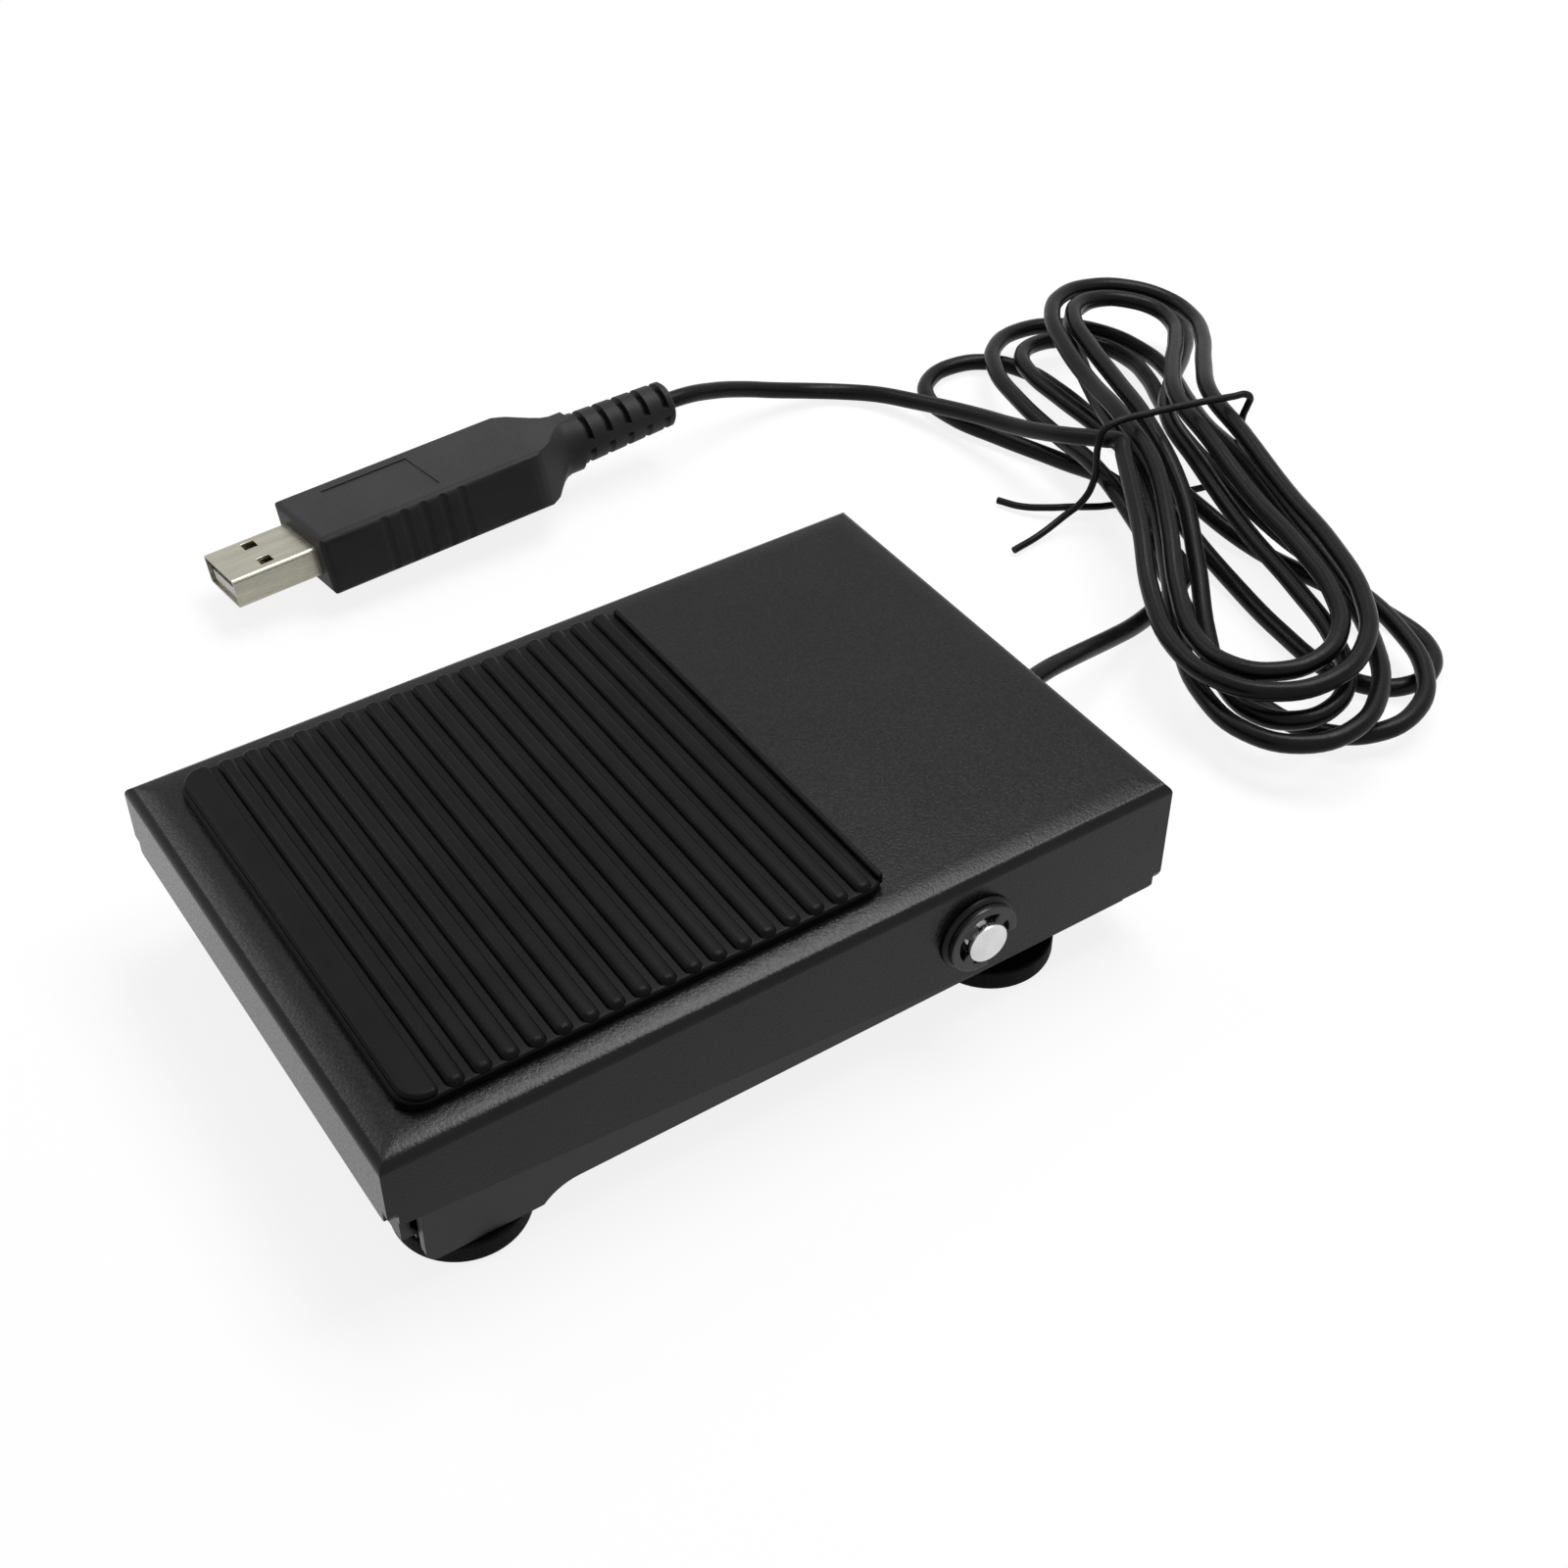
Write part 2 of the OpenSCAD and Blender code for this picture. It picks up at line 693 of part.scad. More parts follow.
module foot_nuts() {
    color("#9b9da0")
    for (at = feet)
        translate([at.x, at.y, floor_top])
            difference() {
                cylinder(d = nut_w / cos(30), h = nut_h, $fn = 6);
                translate([0, 0, -1])
                    cylinder(d = screw_d + 2 * seat_gap, h = nut_h + 2);
            }
}

module pivot_pin() {
    half = pin_l / 2;
    groove_end = clip_x + clip_t + seat_gap;
    color("#c9cbcd")
    translate([0, pivot_y, pivot_z])
        rotate([0, 90, 0])
            rotate_extrude()
                polygon(concat(
                    [[0, -half], [pin_d / 2 - edge, -half], [pin_d / 2, edge - half]],
                    [[pin_d / 2, -groove_end], [groove_d / 2, -groove_end]],
                    [[groove_d / 2, seat_gap - clip_x], [pin_d / 2, seat_gap - clip_x]],
                    [[pin_d / 2, clip_x - seat_gap], [groove_d / 2, clip_x - seat_gap]],
                    [[groove_d / 2, groove_end], [pin_d / 2, groove_end]],
                    [[pin_d / 2, half - edge], [pin_d / 2 - edge, half], [0, half]]
                ));
}

// Flanged nylon bush; side is -1 for the left flange and 1 for the right
module pivot_bush(side) {
    color("#0d0d0d")
    translate([side * cover_w / 2, pivot_y, pivot_z])
        rotate([0, side * 90, 0])
            rotate_extrude()
                polygon([
                    [pin_d / 2 + pin_gap, -sheet_t], [bush_d / 2, -sheet_t], [bush_d / 2, 0],
                    [bush_flange_d / 2, 0], [bush_flange_d / 2, bush_flange_t - edge],
                    [bush_flange_d / 2 - edge, bush_flange_t], [pin_d / 2 + pin_gap, bush_flange_t]
                ]);
}
module pivot_bush_left() { pivot_bush(-1); }
module pivot_bush_right() { pivot_bush(1); }

// Retaining clip with three prongs, open towards the rear and down
module clip_outline() {
    difference() {
        union() {
            difference() {
                circle(d = clip_d);
                circle(d = clip_d - 2 * clip_ring_w);
            }
            intersection() {
                circle(d = clip_d - clip_ring_w);
                for (turn = [0, 95, -95])
                    rotate(turn)
                        translate([-clip_d / 2, -clip_prong_w / 2])
                            square([clip_d / 2, clip_prong_w]);
            }
        }
        circle(d = groove_d + 2 * seat_gap);
        polygon([[0, 0], [clip_d, -clip_d * clip_mouth], [clip_d, clip_d * clip_mouth]]);
    }
}
module pivot_clip(side) {
    color("#17181a")
    translate([side * (clip_x + clip_t / 2), pivot_y, pivot_z])
        along_x(clip_t)
            rotate(-45)
                clip_outline();
}
module pivot_clip_left() { pivot_clip(-1); }
module pivot_clip_right() { pivot_clip(1); }

// Places the four corners of the switch board
module at_spacers() {
    for (sx = [-1, 1])
        for (sy = [-1, 1])
            translate([sx * spacer_x, switch_y + sy * spacer_y, 0])
                children();
}

module board_spacers() {
    color("#c9b26a")
    at_spacers()
        translate([0, 0, floor_top])
            difference() {
                cylinder(d = spacer_d, h = spacer_h);
                translate([0, 0, -1])
                    cylinder(d = small_screw_d + 2 * seat_gap, h = spacer_h + 2);
            }
}

module switch_board() {
    color("#2d6b3a")
    difference() {
        translate([-board_w / 2, switch_y - board_l / 2, board_z])
            cube([board_w, board_l, board_t]);
        at_spacers()
            translate([0, 0, board_z - 1])
                cylinder(d = small_screw_d + 2 * screw_gap, h = board_t + 2);
    }
}

module board_screws() {
    color("#b0b2b5")
    at_spacers()
        translate([0, 0, switch_z])
            pan_screw(small_screw_d, spacer_d - 0.5, spacer_h + board_t - 0.2);
}

module switch_housing() {
    well = stem_flange_w + 4 * stem_gap;
    slot = stem_w + 2 * stem_gap;
    color("#2a2c30")
    translate([0, switch_y, switch_z])
        difference() {
            linear_extrude(switch_h)
                round_rect(switch_w, switch_w, 0.8);
            translate([-well / 2, -well / 2, housing_floor])
                cube([well, well, switch_h - housing_floor - stem_lid]);
            translate([-slot / 2, -slot / 2, housing_floor])
                cube([slot, slot, switch_h]);
        }
}

module switch_stem() {
    flange_z = switch_top - stem_lid - stem_gap - stem_flange_t;
    color("#b23a35")
    translate([0, switch_y, 0]) {
        translate([-stem_flange_w / 2, -stem_flange_w / 2, flange_z])
            cube([stem_flange_w, stem_flange_w, stem_flange_t]);
        translate([-stem_w / 2, -stem_w / 2, flange_z])
            cube([stem_w, stem_w, stem_top - flange_z]);
    }
}

// Helix between the tray's floor and the cover; coils close up at both ends
function spring_point(side, a) =
    let (
        low = floor_top + spring_wire / 2 + spring_low_gap,
        high = under_z - spring_wire / 2 - spring_top_gap,
        turn = a / 360,
        rise = ease((turn - 0.6) / (spring_coils - 1.2)) * 0.35 + turn / spring_coils * 0.65
    )
        [
            side * spring_x + spring_d / 2 * cos(a),
            switch_y + spring_d / 2 * sin(a),
            low + (high - low) * rise
        ];
module return_spring(side) {
    color("#a9abae")
        tube([for (i = [0 : spring_coils * 10]) spring_point(side, i * 36)], spring_wire, 6);
}
module return_spring_left() { return_spring(-1); }
module return_spring_right() { return_spring(1); }

module cable_grommet() {
    bore = cable_d / 2 + cable_gap;
    inner_end = -sheet_t - grommet_flange_t;
    color("#121212")
    translate([0, tray_l / 2, cable_z])
        rotate([-90, 0, 0])
            rotate_extrude()
                polygon([
                    [bore, inner_end], [grommet_d / 2 - edge, inner_end], [grommet_d / 2, inner_end + edge],
                    [grommet_d / 2, -sheet_t - seat_gap], [grommet_neck_d / 2, -sheet_t - seat_gap],
                    [grommet_neck_d / 2, seat_gap], [grommet_d / 2, seat_gap],
                    [grommet_d / 2, grommet_flange_t - edge], [grommet_d / 2 - edge, grommet_flange_t],
                    [bore, grommet_flange_t]
                ]);
}

module cable_clamp() {
    inner_r = cable_d / 2 + cable_gap;
    ear_l = clamp_screw_x + head_d / 2 + 0.5;
    base_drop = clamp_cable_z - floor_top;
    color("#d8d8d4")
    difference() {
        translate([0, clamp_y, clamp_cable_z])
            along_y(clamp_w)
                difference() {
                    union() {
                        circle(inner_r + clamp_t);
                        translate([-inner_r - clamp_t, -base_drop])
                            square([2 * (inner_r + clamp_t), base_drop]);
                        translate([0, -base_drop])
                            square([ear_l, clamp_t]);
                    }
                    circle(inner_r);
                    translate([-inner_r, -base_drop - 1])
                        square([2 * inner_r, base_drop + 1]);
                    translate([-ear_l, -base_drop - 2 * clamp_t])
                        square([2 * ear_l, 2 * clamp_t]);
                }
        translate([clamp_screw_x, clamp_y, floor_top - 1])
            cylinder(d = screw_d + 2 * screw_gap, h = clamp_t + 2);
    }
}

module clamp_screw() {
    color("#9b9da0")
    translate([clamp_screw_x, clamp_y, floor_top + clamp_t])
        pan_screw(screw_d, head_d, clamp_t + sheet_t + 1.5);
}

// Core wire from the jacket's end, under the pin and up over the switch board's rear edge
function core_route(side) =
    let (
        board_edge = switch_y + board_l / 2,
        solder_z = switch_z + core_d / 2 + seat_gap,
        low_z = floor_top + core_d
    )
        [
            for (p = [
                [0.6, jacket_end.y, jacket_end.z], [0.6, jacket_end.y - core_d, jacket_end.z],
                [1.1, jacket_end.y - 7 * core_d, low_z], [1.8, jacket_end.y - 14 * core_d, low_z],
                [2.4, board_edge + 8 * core_d, low_z + 0.4 * core_d],
                [2.8, board_edge + 3 * core_d, low_z + 1.9 * core_d],
                [2.9, board_edge + 0.6 * core_d, solder_z + 0.4 * core_d],
                [3, board_edge - 2 * core_d, solder_z], [3, board_edge - 4.5 * core_d, solder_z]
            ])
                [side * p.x * core_d, p.y, p.z]
        ];
module core_wire_red() { color("#b02a24") tube(core_route(-1), core_d, 6); }
module core_wire_white() { color("#e4e3de") tube(core_route(1), core_d, 6); }

// Spiral of the strands: 1 on the outermost, 0 on the innermost. Each layer takes three half turns
// in or out, the last one four.
function spiral(t) =
    let (m = (t + 0.5) % 6)
        t > 8.5 ? min(1, max(0, (t - 9) / 3))
        : m < 2 ? 1 - m / 2
        : m < 3 ? 0
        : m < 5 ? (m - 3) / 2
        : 1;
function layer(t) = max(0, min(3, floor((t + 0.5) / 3)));

// Place in the room of a point in the hank's own axes
function hank_place(p) =
    rear + hank_at + [
        p.x * cos(hank_turn) - p.y * sin(hank_turn),
        p.x * sin(hank_turn) + p.y * cos(hank_turn),
        p.z
    ];

// Point of the hank after t half turns: the waist at each half, the loops' ends at each whole
function hank_point(t) =
    let (
        c = cos(180 * t),
        s = sin(180 * t),
        far = c < 0,
        i = layer(t),
        out = spiral(t),
        reach = (far ? far_reach[i] : near_reach[i]) + loop_step * (out - 0.5),
        blunt = 0.01 - 0.04 * out,
        u = reach * (c - blunt * cos(540 * t)) / (1 - blunt),
        v = -s * ((waist_in + waist_spread * out) * s * s + (loop_w + loop_spread * out) * c * c),
        fan = (far ? -far_fan[i] : near_fan[i]) * (sqrt(u * u + fan_lead * fan_lead) - fan_lead)
            / max(abs(u), eps),
        climb = ease((t - 2.36) / 0.28) + ease((t - 5.36) / 0.28) + ease((t - 8.36) / 0.28),
        side = -s * (1.5 - 0.5 * s * s),
        near_level = far ? far_near_level[i] : near_near_level[i],
        far_level = far ? far_far_level[i] : near_far_level[i],
        end_level = near_level * (1 - side) / 2 + far_level * (1 + side) / 2,
        to_end = ease((abs(u) - 14) / 32),
        level = climb * (1 - to_end) + end_level * to_end
    )
        hank_place([
            u * cos(fan) - v * sin(fan),
            u * sin(fan) + v * cos(fan),
            strand_z + waist_lift * (1 - ease(abs(u) / 18)) + layer_h * level
        ]);

hank_steps = round((hank_end - hank_start) / 2 * hank_rings);
hank_turns = [
    for (i = [0 : hank_steps])
        hank_point(hank_start + (hank_end - hank_start) * i / hank_steps)
];
// Both ends run straight for one cable diameter, and so do the stretches that meet them
hank_in = cable_d * unit(hank_turns[1] - hank_turns[0]);
hank_out = cable_d * unit(hank_turns[hank_steps] - hank_turns[hank_steps - 1]);
hank_first = hank_turns[0] - hank_in;
hank_last = hank_turns[hank_steps] + hank_out;
hank_path = concat([hank_first], hank_turns, [hank_last]);

// Least gap of the wound cable to itself, measured on points six to a ring
function hank_gap() =
    let (
        fine = [
            for (i = [0 : len(hank_path) - 2])
                for (k = [0 : 5])
                    hank_path[i] + (hank_path[i + 1] - hank_path[i]) * k / 6
        ],
        skip = 20
    )
        min([
            for (i = [0 : len(fine) - 1 - skip])
                min([for (j = [i + skip : len(fine) - 1]) norm(fine[i] - fine[j])])
        ]) - cable_d;

module cable_lead() {
    color("#161617")
        tube(
            concat(inner_route, [for (p = lead_route) rear + p], [hank_first - hank_in, hank_first]),
            cable_d, 8
        );
}
module cable_hank() {
    echo(hank_gap = hank_gap());
    color("#161617")
        tube(hank_path, cable_d, 6);
}
module cable_tail() {
    color("#161617")
        tube(
            concat(
                [hank_last, hank_last + hank_out], [for (p = tail_route) rear + p],
                [plug_point(plug_end + cable_d), plug_point(plug_neck + edge)]
            ),
            cable_d, 8
        );
}

module wire_tie() {
    color("#101010")
        tube([for (p = tie_route) hank_place(p)], tie_d, 6, [cos(hank_turn), sin(hank_turn), 0]);
}

// Point on the plug's axis, in the room
function plug_point(y) = rear + plug_at + y * [0, cos(plug_pitch), sin(plug_pitch)];
module place_plug() {
    translate(rear + plug_at)
        rotate([plug_pitch, 0, 0])
            rotate([0, plug_roll, 0])
                children();
}

// Extrude a front view of the plug from one place along it to another
module plug_run(y1, y2) {
    translate([0, (y1 + y2) / 2, 0])
        along_y(y2 - y1)
            children();
}

module usb_shell() {
    color("#cfcabb")
    place_plug()
        difference() {
            plug_run(0, shell_end)
                round_rect(shell_w, shell_h, 2 * shell_t);
            plug_run(-1, shell_end + 1)
                round_rect(shell_w - 2 * shell_t, shell_h - 2 * shell_t, shell_t);
            // Latch holes, two in the top and two in the bottom
            for (side = [-1, 1])
                translate([side * latch_x, latch_y, 0])
                    cube([latch_size.x, latch_size.y, shell_h + 2], center = true);
        }
}

module usb_tongue() {
    tongue_w = shell_w - 2 * shell_t - tongue_inset;
    color("#d9d9d4")
    place_plug()
        translate([-tongue_w / 2, tongue_inset, tongue_z])
            cube([tongue_w, shell_end - tongue_inset, tongue_t]);
}

module usb_contacts() {
    color("#d4b25a")
    place_plug()
        for (x = contact_x)
            translate([x - contact_size.x / 2, contact_y, tongue_z + tongue_t])
                cube(contact_size);
}

// Encoder board and chip, buried in the moulding; grow is the room left round them
module plug_board_box(grow) {
    board_y = shell_end + 0.1;
    translate([-encoder_w / 2 - grow, board_y - grow, -board_t / 2 - grow])
        cube([encoder_w + 2 * grow, plug_shoulder - board_y - 5 + 2 * grow, board_t + 2 * grow]);
}
module encoder_chip_box(grow) {
    side = chip_w + 2 * grow;
    translate([-side / 2, shell_l + plug_l / 2 - side / 2, board_t / 2 - grow])
        cube([side, side, chip_t + 2 * grow]);
}
module plug_board() {
    color("#2d6b3a")
    place_plug()
        plug_board_box(0);
}
module encoder_chip() {
    color("#202124")
    place_plug()
        encoder_chip_box(0);
}

// Width of the moulding at a share of the way from its shoulder to its neck
function shoulder(wide, narrow, f) = wide + (narrow - wide) * ease(f);
function plug_sweep_y(f) = plug_shoulder + f * plug_taper_l;
sweep = [0 : 0.125 : 1];

module plug_overmould() {
    chamfer = 3 * edge;
    color("#232425")
    place_plug()
        difference() {
            intersection() {
                plug_run(shell_l, plug_back)
                    round_rect(plug_w, plug_h, plug_r);
                // Seen from above: broken front corners, and shoulders that sweep in to the neck
                linear_extrude(plug_h + 2, center = true)
                    polygon(concat(
                        [[-plug_w / 2 + chamfer, shell_l], [plug_w / 2 - chamfer, shell_l]],
                        [[plug_w / 2, shell_l + chamfer]],
                        [for (f = sweep) [shoulder(plug_w, neck_w, f) / 2, plug_sweep_y(f)]],
                        [[neck_w / 2, plug_back], [-neck_w / 2, plug_back]],
                        [for (f = sweep) [-shoulder(plug_w, neck_w, 1 - f) / 2, plug_sweep_y(1 - f)]],
                        [[-plug_w / 2, shell_l + chamfer]]
                    ));
                // Seen from the side
                along_x(plug_w + 2)
                    polygon(concat(
                        [[shell_l, -plug_h / 2]],
                        [for (f = sweep) [plug_sweep_y(f), -shoulder(plug_h, neck_h, f) / 2]],
                        [[plug_back, -neck_h / 2], [plug_back, neck_h / 2]],
                        [for (f = sweep) [plug_sweep_y(1 - f), shoulder(plug_h, neck_h, 1 - f) / 2]],
                        [[shell_l, plug_h / 2]]
                    ));
                // Turned form that rounds the shoulders off to the neck
                rotate([-90, 0, 0])
                    rotate_extrude()
                        polygon(concat(
                            [[0, shell_l - 1], [plug_w, shell_l - 1]],
                            [for (f = sweep) [shoulder(plug_w + plug_h / 2, neck_w, f) / 2, plug_sweep_y(f)]],
                            [[neck_w / 2, plug_back], [0, plug_back]]
                        ));
            }
            // Seat of the metal shell
            plug_run(shell_l - 1, shell_end + seat_gap)
                round_rect(shell_w + 2 * seat_gap, shell_h + 2 * seat_gap, 2 * shell_t);
            plug_board_box(seat_gap);
            encoder_chip_box(seat_gap);
            // Shallow bare panel in the top
            translate([0, panel_y, plug_h / 2])
                cube([panel_w, panel_l, 2 * panel_t], center = true);
            // Grip flutes
            for (side = [-1, 1])
                for (i = [0 : flute_n - 1])
                    translate([
                        side * (plug_w / 2 + flute_d / 2 - flute_t),
                        shell_l + flute_start + i * flute_pitch, 0
                    ])
                        cylinder(d = flute_d, h = plug_h + 2, center = true);
            // Bore that the cable runs into
            translate([0, plug_back + eps, 0])
                rotate([90, 0, 0])
                    cylinder(d = cable_d + 2 * cable_gap, h = neck_l);
        }
}

// Tapered sleeve with slots from above and below, which leave a spine along each side
module plug_strain_relief() {
    bore = cable_d / 2 + cable_gap;
    pitch = relief_l / relief_n;
    // Outer radius at a distance from the neck
    function skin(y) = (relief_d1 + (relief_d2 - relief_d1) * y / relief_l) / 2;
    color("#1d1e1f")
    place_plug()
        translate([0, plug_back, 0])
            difference() {
                rotate([-90, 0, 0])
                    rotate_extrude()
                        polygon([
                            [bore, 0], [skin(0), 0], [skin(relief_l), relief_l - edge],
                            [skin(relief_l) - edge, relief_l], [bore, relief_l]
                        ]);
                for (i = [0 : relief_n - 1])
                    translate([0, (i + 0.5) * pitch, 0])
                        difference() {
                            for (side = [-1, 1])
                                translate([0, 0, side * (relief_d1 + relief_spine_t) / 2])
                                    cube([relief_d1 + 2, relief_slot_w, relief_d1], center = true);
                            rotate([90, 0, 0])
                                cylinder(
                                    r = skin((i + 0.5) * pitch) - relief_slot_t,
                                    h = relief_slot_w + 2, center = true
                                );
                        }
            }
}

base_tray();
rubber_foot_front_left();
rubber_foot_front_right();
rubber_foot_rear_left();
rubber_foot_rear_right();
foot_screws();
foot_nuts();
pivot_pin();
pivot_bush_left();
pivot_bush_right();
pivot_clip_left();
pivot_clip_right();
pedal_cover();
tread_pad();
press_stud();
board_spacers();
switch_board();
board_screws();
switch_housing();
switch_stem();
return_spring_left();
return_spring_right();
cable_grommet();
cable_clamp();
clamp_screw();
core_wire_red();
core_wire_white();
cable_lead();
cable_hank();
cable_tail();
wire_tie();
plug_strain_relief();
plug_overmould();
plug_board();
encoder_chip();
usb_shell();
usb_tongue();
usb_contacts();
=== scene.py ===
"""A USB foot pedal switch: the looks of its pieces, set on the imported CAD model."""
import json
import math

import bmesh
import bpy
from mathutils import Matrix, Vector


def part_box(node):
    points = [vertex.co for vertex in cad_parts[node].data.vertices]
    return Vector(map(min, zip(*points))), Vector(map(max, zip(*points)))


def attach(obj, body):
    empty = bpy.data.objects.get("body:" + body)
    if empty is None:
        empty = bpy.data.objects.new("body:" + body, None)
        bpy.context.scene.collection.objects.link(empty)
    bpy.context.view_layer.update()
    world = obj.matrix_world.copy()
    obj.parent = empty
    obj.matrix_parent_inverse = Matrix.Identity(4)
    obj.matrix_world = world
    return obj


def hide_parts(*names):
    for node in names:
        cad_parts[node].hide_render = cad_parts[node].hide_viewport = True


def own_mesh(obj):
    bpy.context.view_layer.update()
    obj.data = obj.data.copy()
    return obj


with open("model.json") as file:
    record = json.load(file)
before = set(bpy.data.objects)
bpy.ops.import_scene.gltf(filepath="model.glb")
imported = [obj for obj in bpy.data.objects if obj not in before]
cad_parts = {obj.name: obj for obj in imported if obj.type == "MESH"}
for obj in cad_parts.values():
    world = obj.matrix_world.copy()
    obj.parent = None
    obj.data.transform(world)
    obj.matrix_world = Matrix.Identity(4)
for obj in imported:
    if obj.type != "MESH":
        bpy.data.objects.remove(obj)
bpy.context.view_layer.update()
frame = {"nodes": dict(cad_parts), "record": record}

# Tray
# One blank of sheet steel, folded up on its four sides and painted satin black. Everything else is fixed
# to it, and its side walls reach down beside the front feet.
mm = 0.001
weld = 0.001 * mm
flat_turn = math.radians(0.5)
sharp_turn = math.radians(35)
body_of = {
    node: body
    for body, nodes in frame["record"]["behaviour"]["bodies"].items()
    for node in nodes
}


def pick(piece):
    """Selects one piece alone, for the operators that follow."""
    bpy.ops.object.select_all(action="DESELECT")
    piece.select_set(True)
    bpy.context.view_layer.objects.active = piece


def stand_for(piece, finish, *nodes):
    """Gives a piece its finish, its body and the CAD nodes that it stands for."""
    piece.data.materials.clear()
    piece.data.materials.append(finish)
    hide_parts(*nodes)
    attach(piece, body_of[nodes[0]])


def rounded(node, name, finish, edge=0, segments=2, shaped=None):
    """A copy of a CAD node that stands for it, shaped further or not, its sharp edges rounded or kept."""
    piece = bpy.data.objects.new(name, frame["nodes"][node].data.copy())
    bpy.context.collection.objects.link(piece)
    pick(piece)
    bpy.ops.object.mode_set(mode="EDIT")
    bpy.ops.mesh.select_all(action="SELECT")
    bpy.ops.mesh.remove_doubles(threshold=weld)
    bpy.ops.mesh.dissolve_limited(angle_limit=flat_turn)
    bpy.ops.object.mode_set(mode="OBJECT")
    bpy.ops.mesh.customdata_custom_splitnormals_clear()
    bpy.ops.object.shade_smooth()
    if shaped:
        shaped(piece)
    weights = piece.data.attributes.new("bevel_weight_edge", "FLOAT", "EDGE")
    shape = bmesh.new()
    shape.from_mesh(piece.data)
    for line, weight, crease in zip(shape.edges, weights.data, piece.data.edges):
        sharp = line.calc_face_angle(0) > sharp_turn
        weight.value = float(sharp and edge > 0)
        crease.use_edge_sharp = crease.use_edge_sharp or (sharp and edge == 0)
    shape.free()
    if edge > 0:
        bevel = piece.modifiers.new("Edge", "BEVEL")
        bevel.width = edge
        bevel.segments = segments
        bevel.limit_method = "WEIGHT"
        bevel.use_clamp_overlap = False
        bpy.ops.object.modifier_apply(modifier=bevel.name)
    even_out = piece.modifiers.new("Even", "WEIGHTED_NORMAL")
    even_out.keep_sharp = True
    bpy.ops.object.modifier_apply(modifier=even_out.name)
    stand_for(piece, finish, node)
    return piece


def add(tree, kind, inputs=(), **settings):
    """A node with its settings, each input set to a value or linked to a socket."""
    node = tree.nodes.new(kind)
    for name, value in settings.items():
        setattr(node, name, value)
    for name, value in dict(inputs).items():
        if isinstance(value, bpy.types.NodeSocket):
            tree.links.new(value, node.inputs[name])
        else:
            node.inputs[name].default_value = value
    return node


def grain_group():
    """Two noises on a piece's own coordinates: a fine grain, and a slow drift from place to place."""
    group = bpy.data.node_groups.new("surface grain", "ShaderNodeTree")
    for name, kind in (
        ("Grain Scale", "NodeSocketFloat"),
        ("Drift Scale", "NodeSocketFloat"),
        ("Stretch", "NodeSocketVector"),
    ):
        group.interface.new_socket(name, in_out="INPUT", socket_type=kind)
    for name in ("Grain", "Drift"):
        group.interface.new_socket(name, in_out="OUTPUT", socket_type="NodeSocketFloat")
    given = add(group, "NodeGroupInput")
    place = add(group, "ShaderNodeTexCoord")
    drawn = add(group, "ShaderNodeVectorMath", operation="MULTIPLY")
    group.links.new(place.outputs["Object"], drawn.inputs[0])
    group.links.new(given.outputs["Stretch"], drawn.inputs[1])
    grain = add(group, "ShaderNodeTexNoise", {
        "Vector": drawn.outputs["Vector"],
        "Scale": given.outputs["Grain Scale"],
        "Detail": 2.0,
        "Roughness": 0.6,
    })
    drift = add(group, "ShaderNodeTexNoise", {
        "Vector": drawn.outputs["Vector"],
        "Scale": given.outputs["Drift Scale"],
        "Detail": 4.0,
        "Roughness": 0.6,
    })
    add(group, "NodeGroupOutput", {
        "Grain": grain.outputs["Fac"],
        "Drift": drift.outputs["Fac"],
    })
    return group


surface_grain = grain_group()
even = (1, 1, 1)


def grained(name, dark, light, rough, grain, drift, depth, specular=0.5, metallic=0.0, stretch=even):
    """A finish whose tint drifts between two colours, with a grain that roughens and raises it."""
    finish = bpy.data.materials.new(name)
    finish.use_nodes = True
    tree = finish.node_tree
    shader = tree.nodes["Principled BSDF"]
    marks = add(tree, "ShaderNodeGroup", {
        "Grain Scale": 1 / grain,
        "Drift Scale": 1 / drift,
        "Stretch": stretch,
    }, node_tree=surface_grain, label="Marks")
    tint = add(tree, "ShaderNodeValToRGB", {"Fac": marks.outputs["Drift"]}, label="Tint")
    tint.color_ramp.elements[0].position = 0.35
    tint.color_ramp.elements[0].color = (*dark, 1)
    tint.color_ramp.elements[1].position = 0.65
    tint.color_ramp.elements[1].color = (*light, 1)
    gloss = add(tree, "ShaderNodeMapRange", {
        "Value": marks.outputs["Grain"],
        "From Min": 0.3,
        "From Max": 0.7,
        "To Min": rough[0],
        "To Max": rough[1],
    }, label="Gloss")
    relief = add(tree, "ShaderNodeBump", {
        "Height": marks.outputs["Grain"],
        "Distance": depth,
        "Strength": 1.0,
    }, label="Relief")
    tree.links.new(tint.outputs["Color"], shader.inputs["Base Color"])
    tree.links.new(gloss.outputs["Result"], shader.inputs["Roughness"])
    tree.links.new(relief.outputs["Normal"], shader.inputs["Normal"])
    shader.inputs["Metallic"].default_value = metallic
    shader.inputs["Specular IOR Level"].default_value = specular
    return finish


cool = 1.03


def grey(level):
    """A neutral colour, a touch cool."""
    return (level, level, level * cool)


tray_paint = grained(
    "tray paint", dark=grey(0.008), light=grey(0.012), rough=(0.3, 0.42),
    grain=0.3 * mm, drift=22 * mm, depth=0.004 * mm, specular=0.25,
)
rounded("base_tray", "tray_painted", tray_paint)

# Feet
# Four round rubber feet, moulded matte black with a shoulder under the tray's side walls. A screw in a
# recess from below holds each one.
foot_rubber = grained(
    "foot rubber", dark=grey(0.003), light=grey(0.005), rough=(0.55, 0.75),
    grain=0.3 * mm, drift=6 * mm, depth=0.008 * mm, specular=0.06,
)
foot_names = ("front_left", "front_right", "rear_left", "rear_right")
foot_edge = 0.35 * mm
for place in foot_names:
    rounded("rubber_foot_" + place, "foot_" + place, foot_rubber, foot_edge, segments=3)

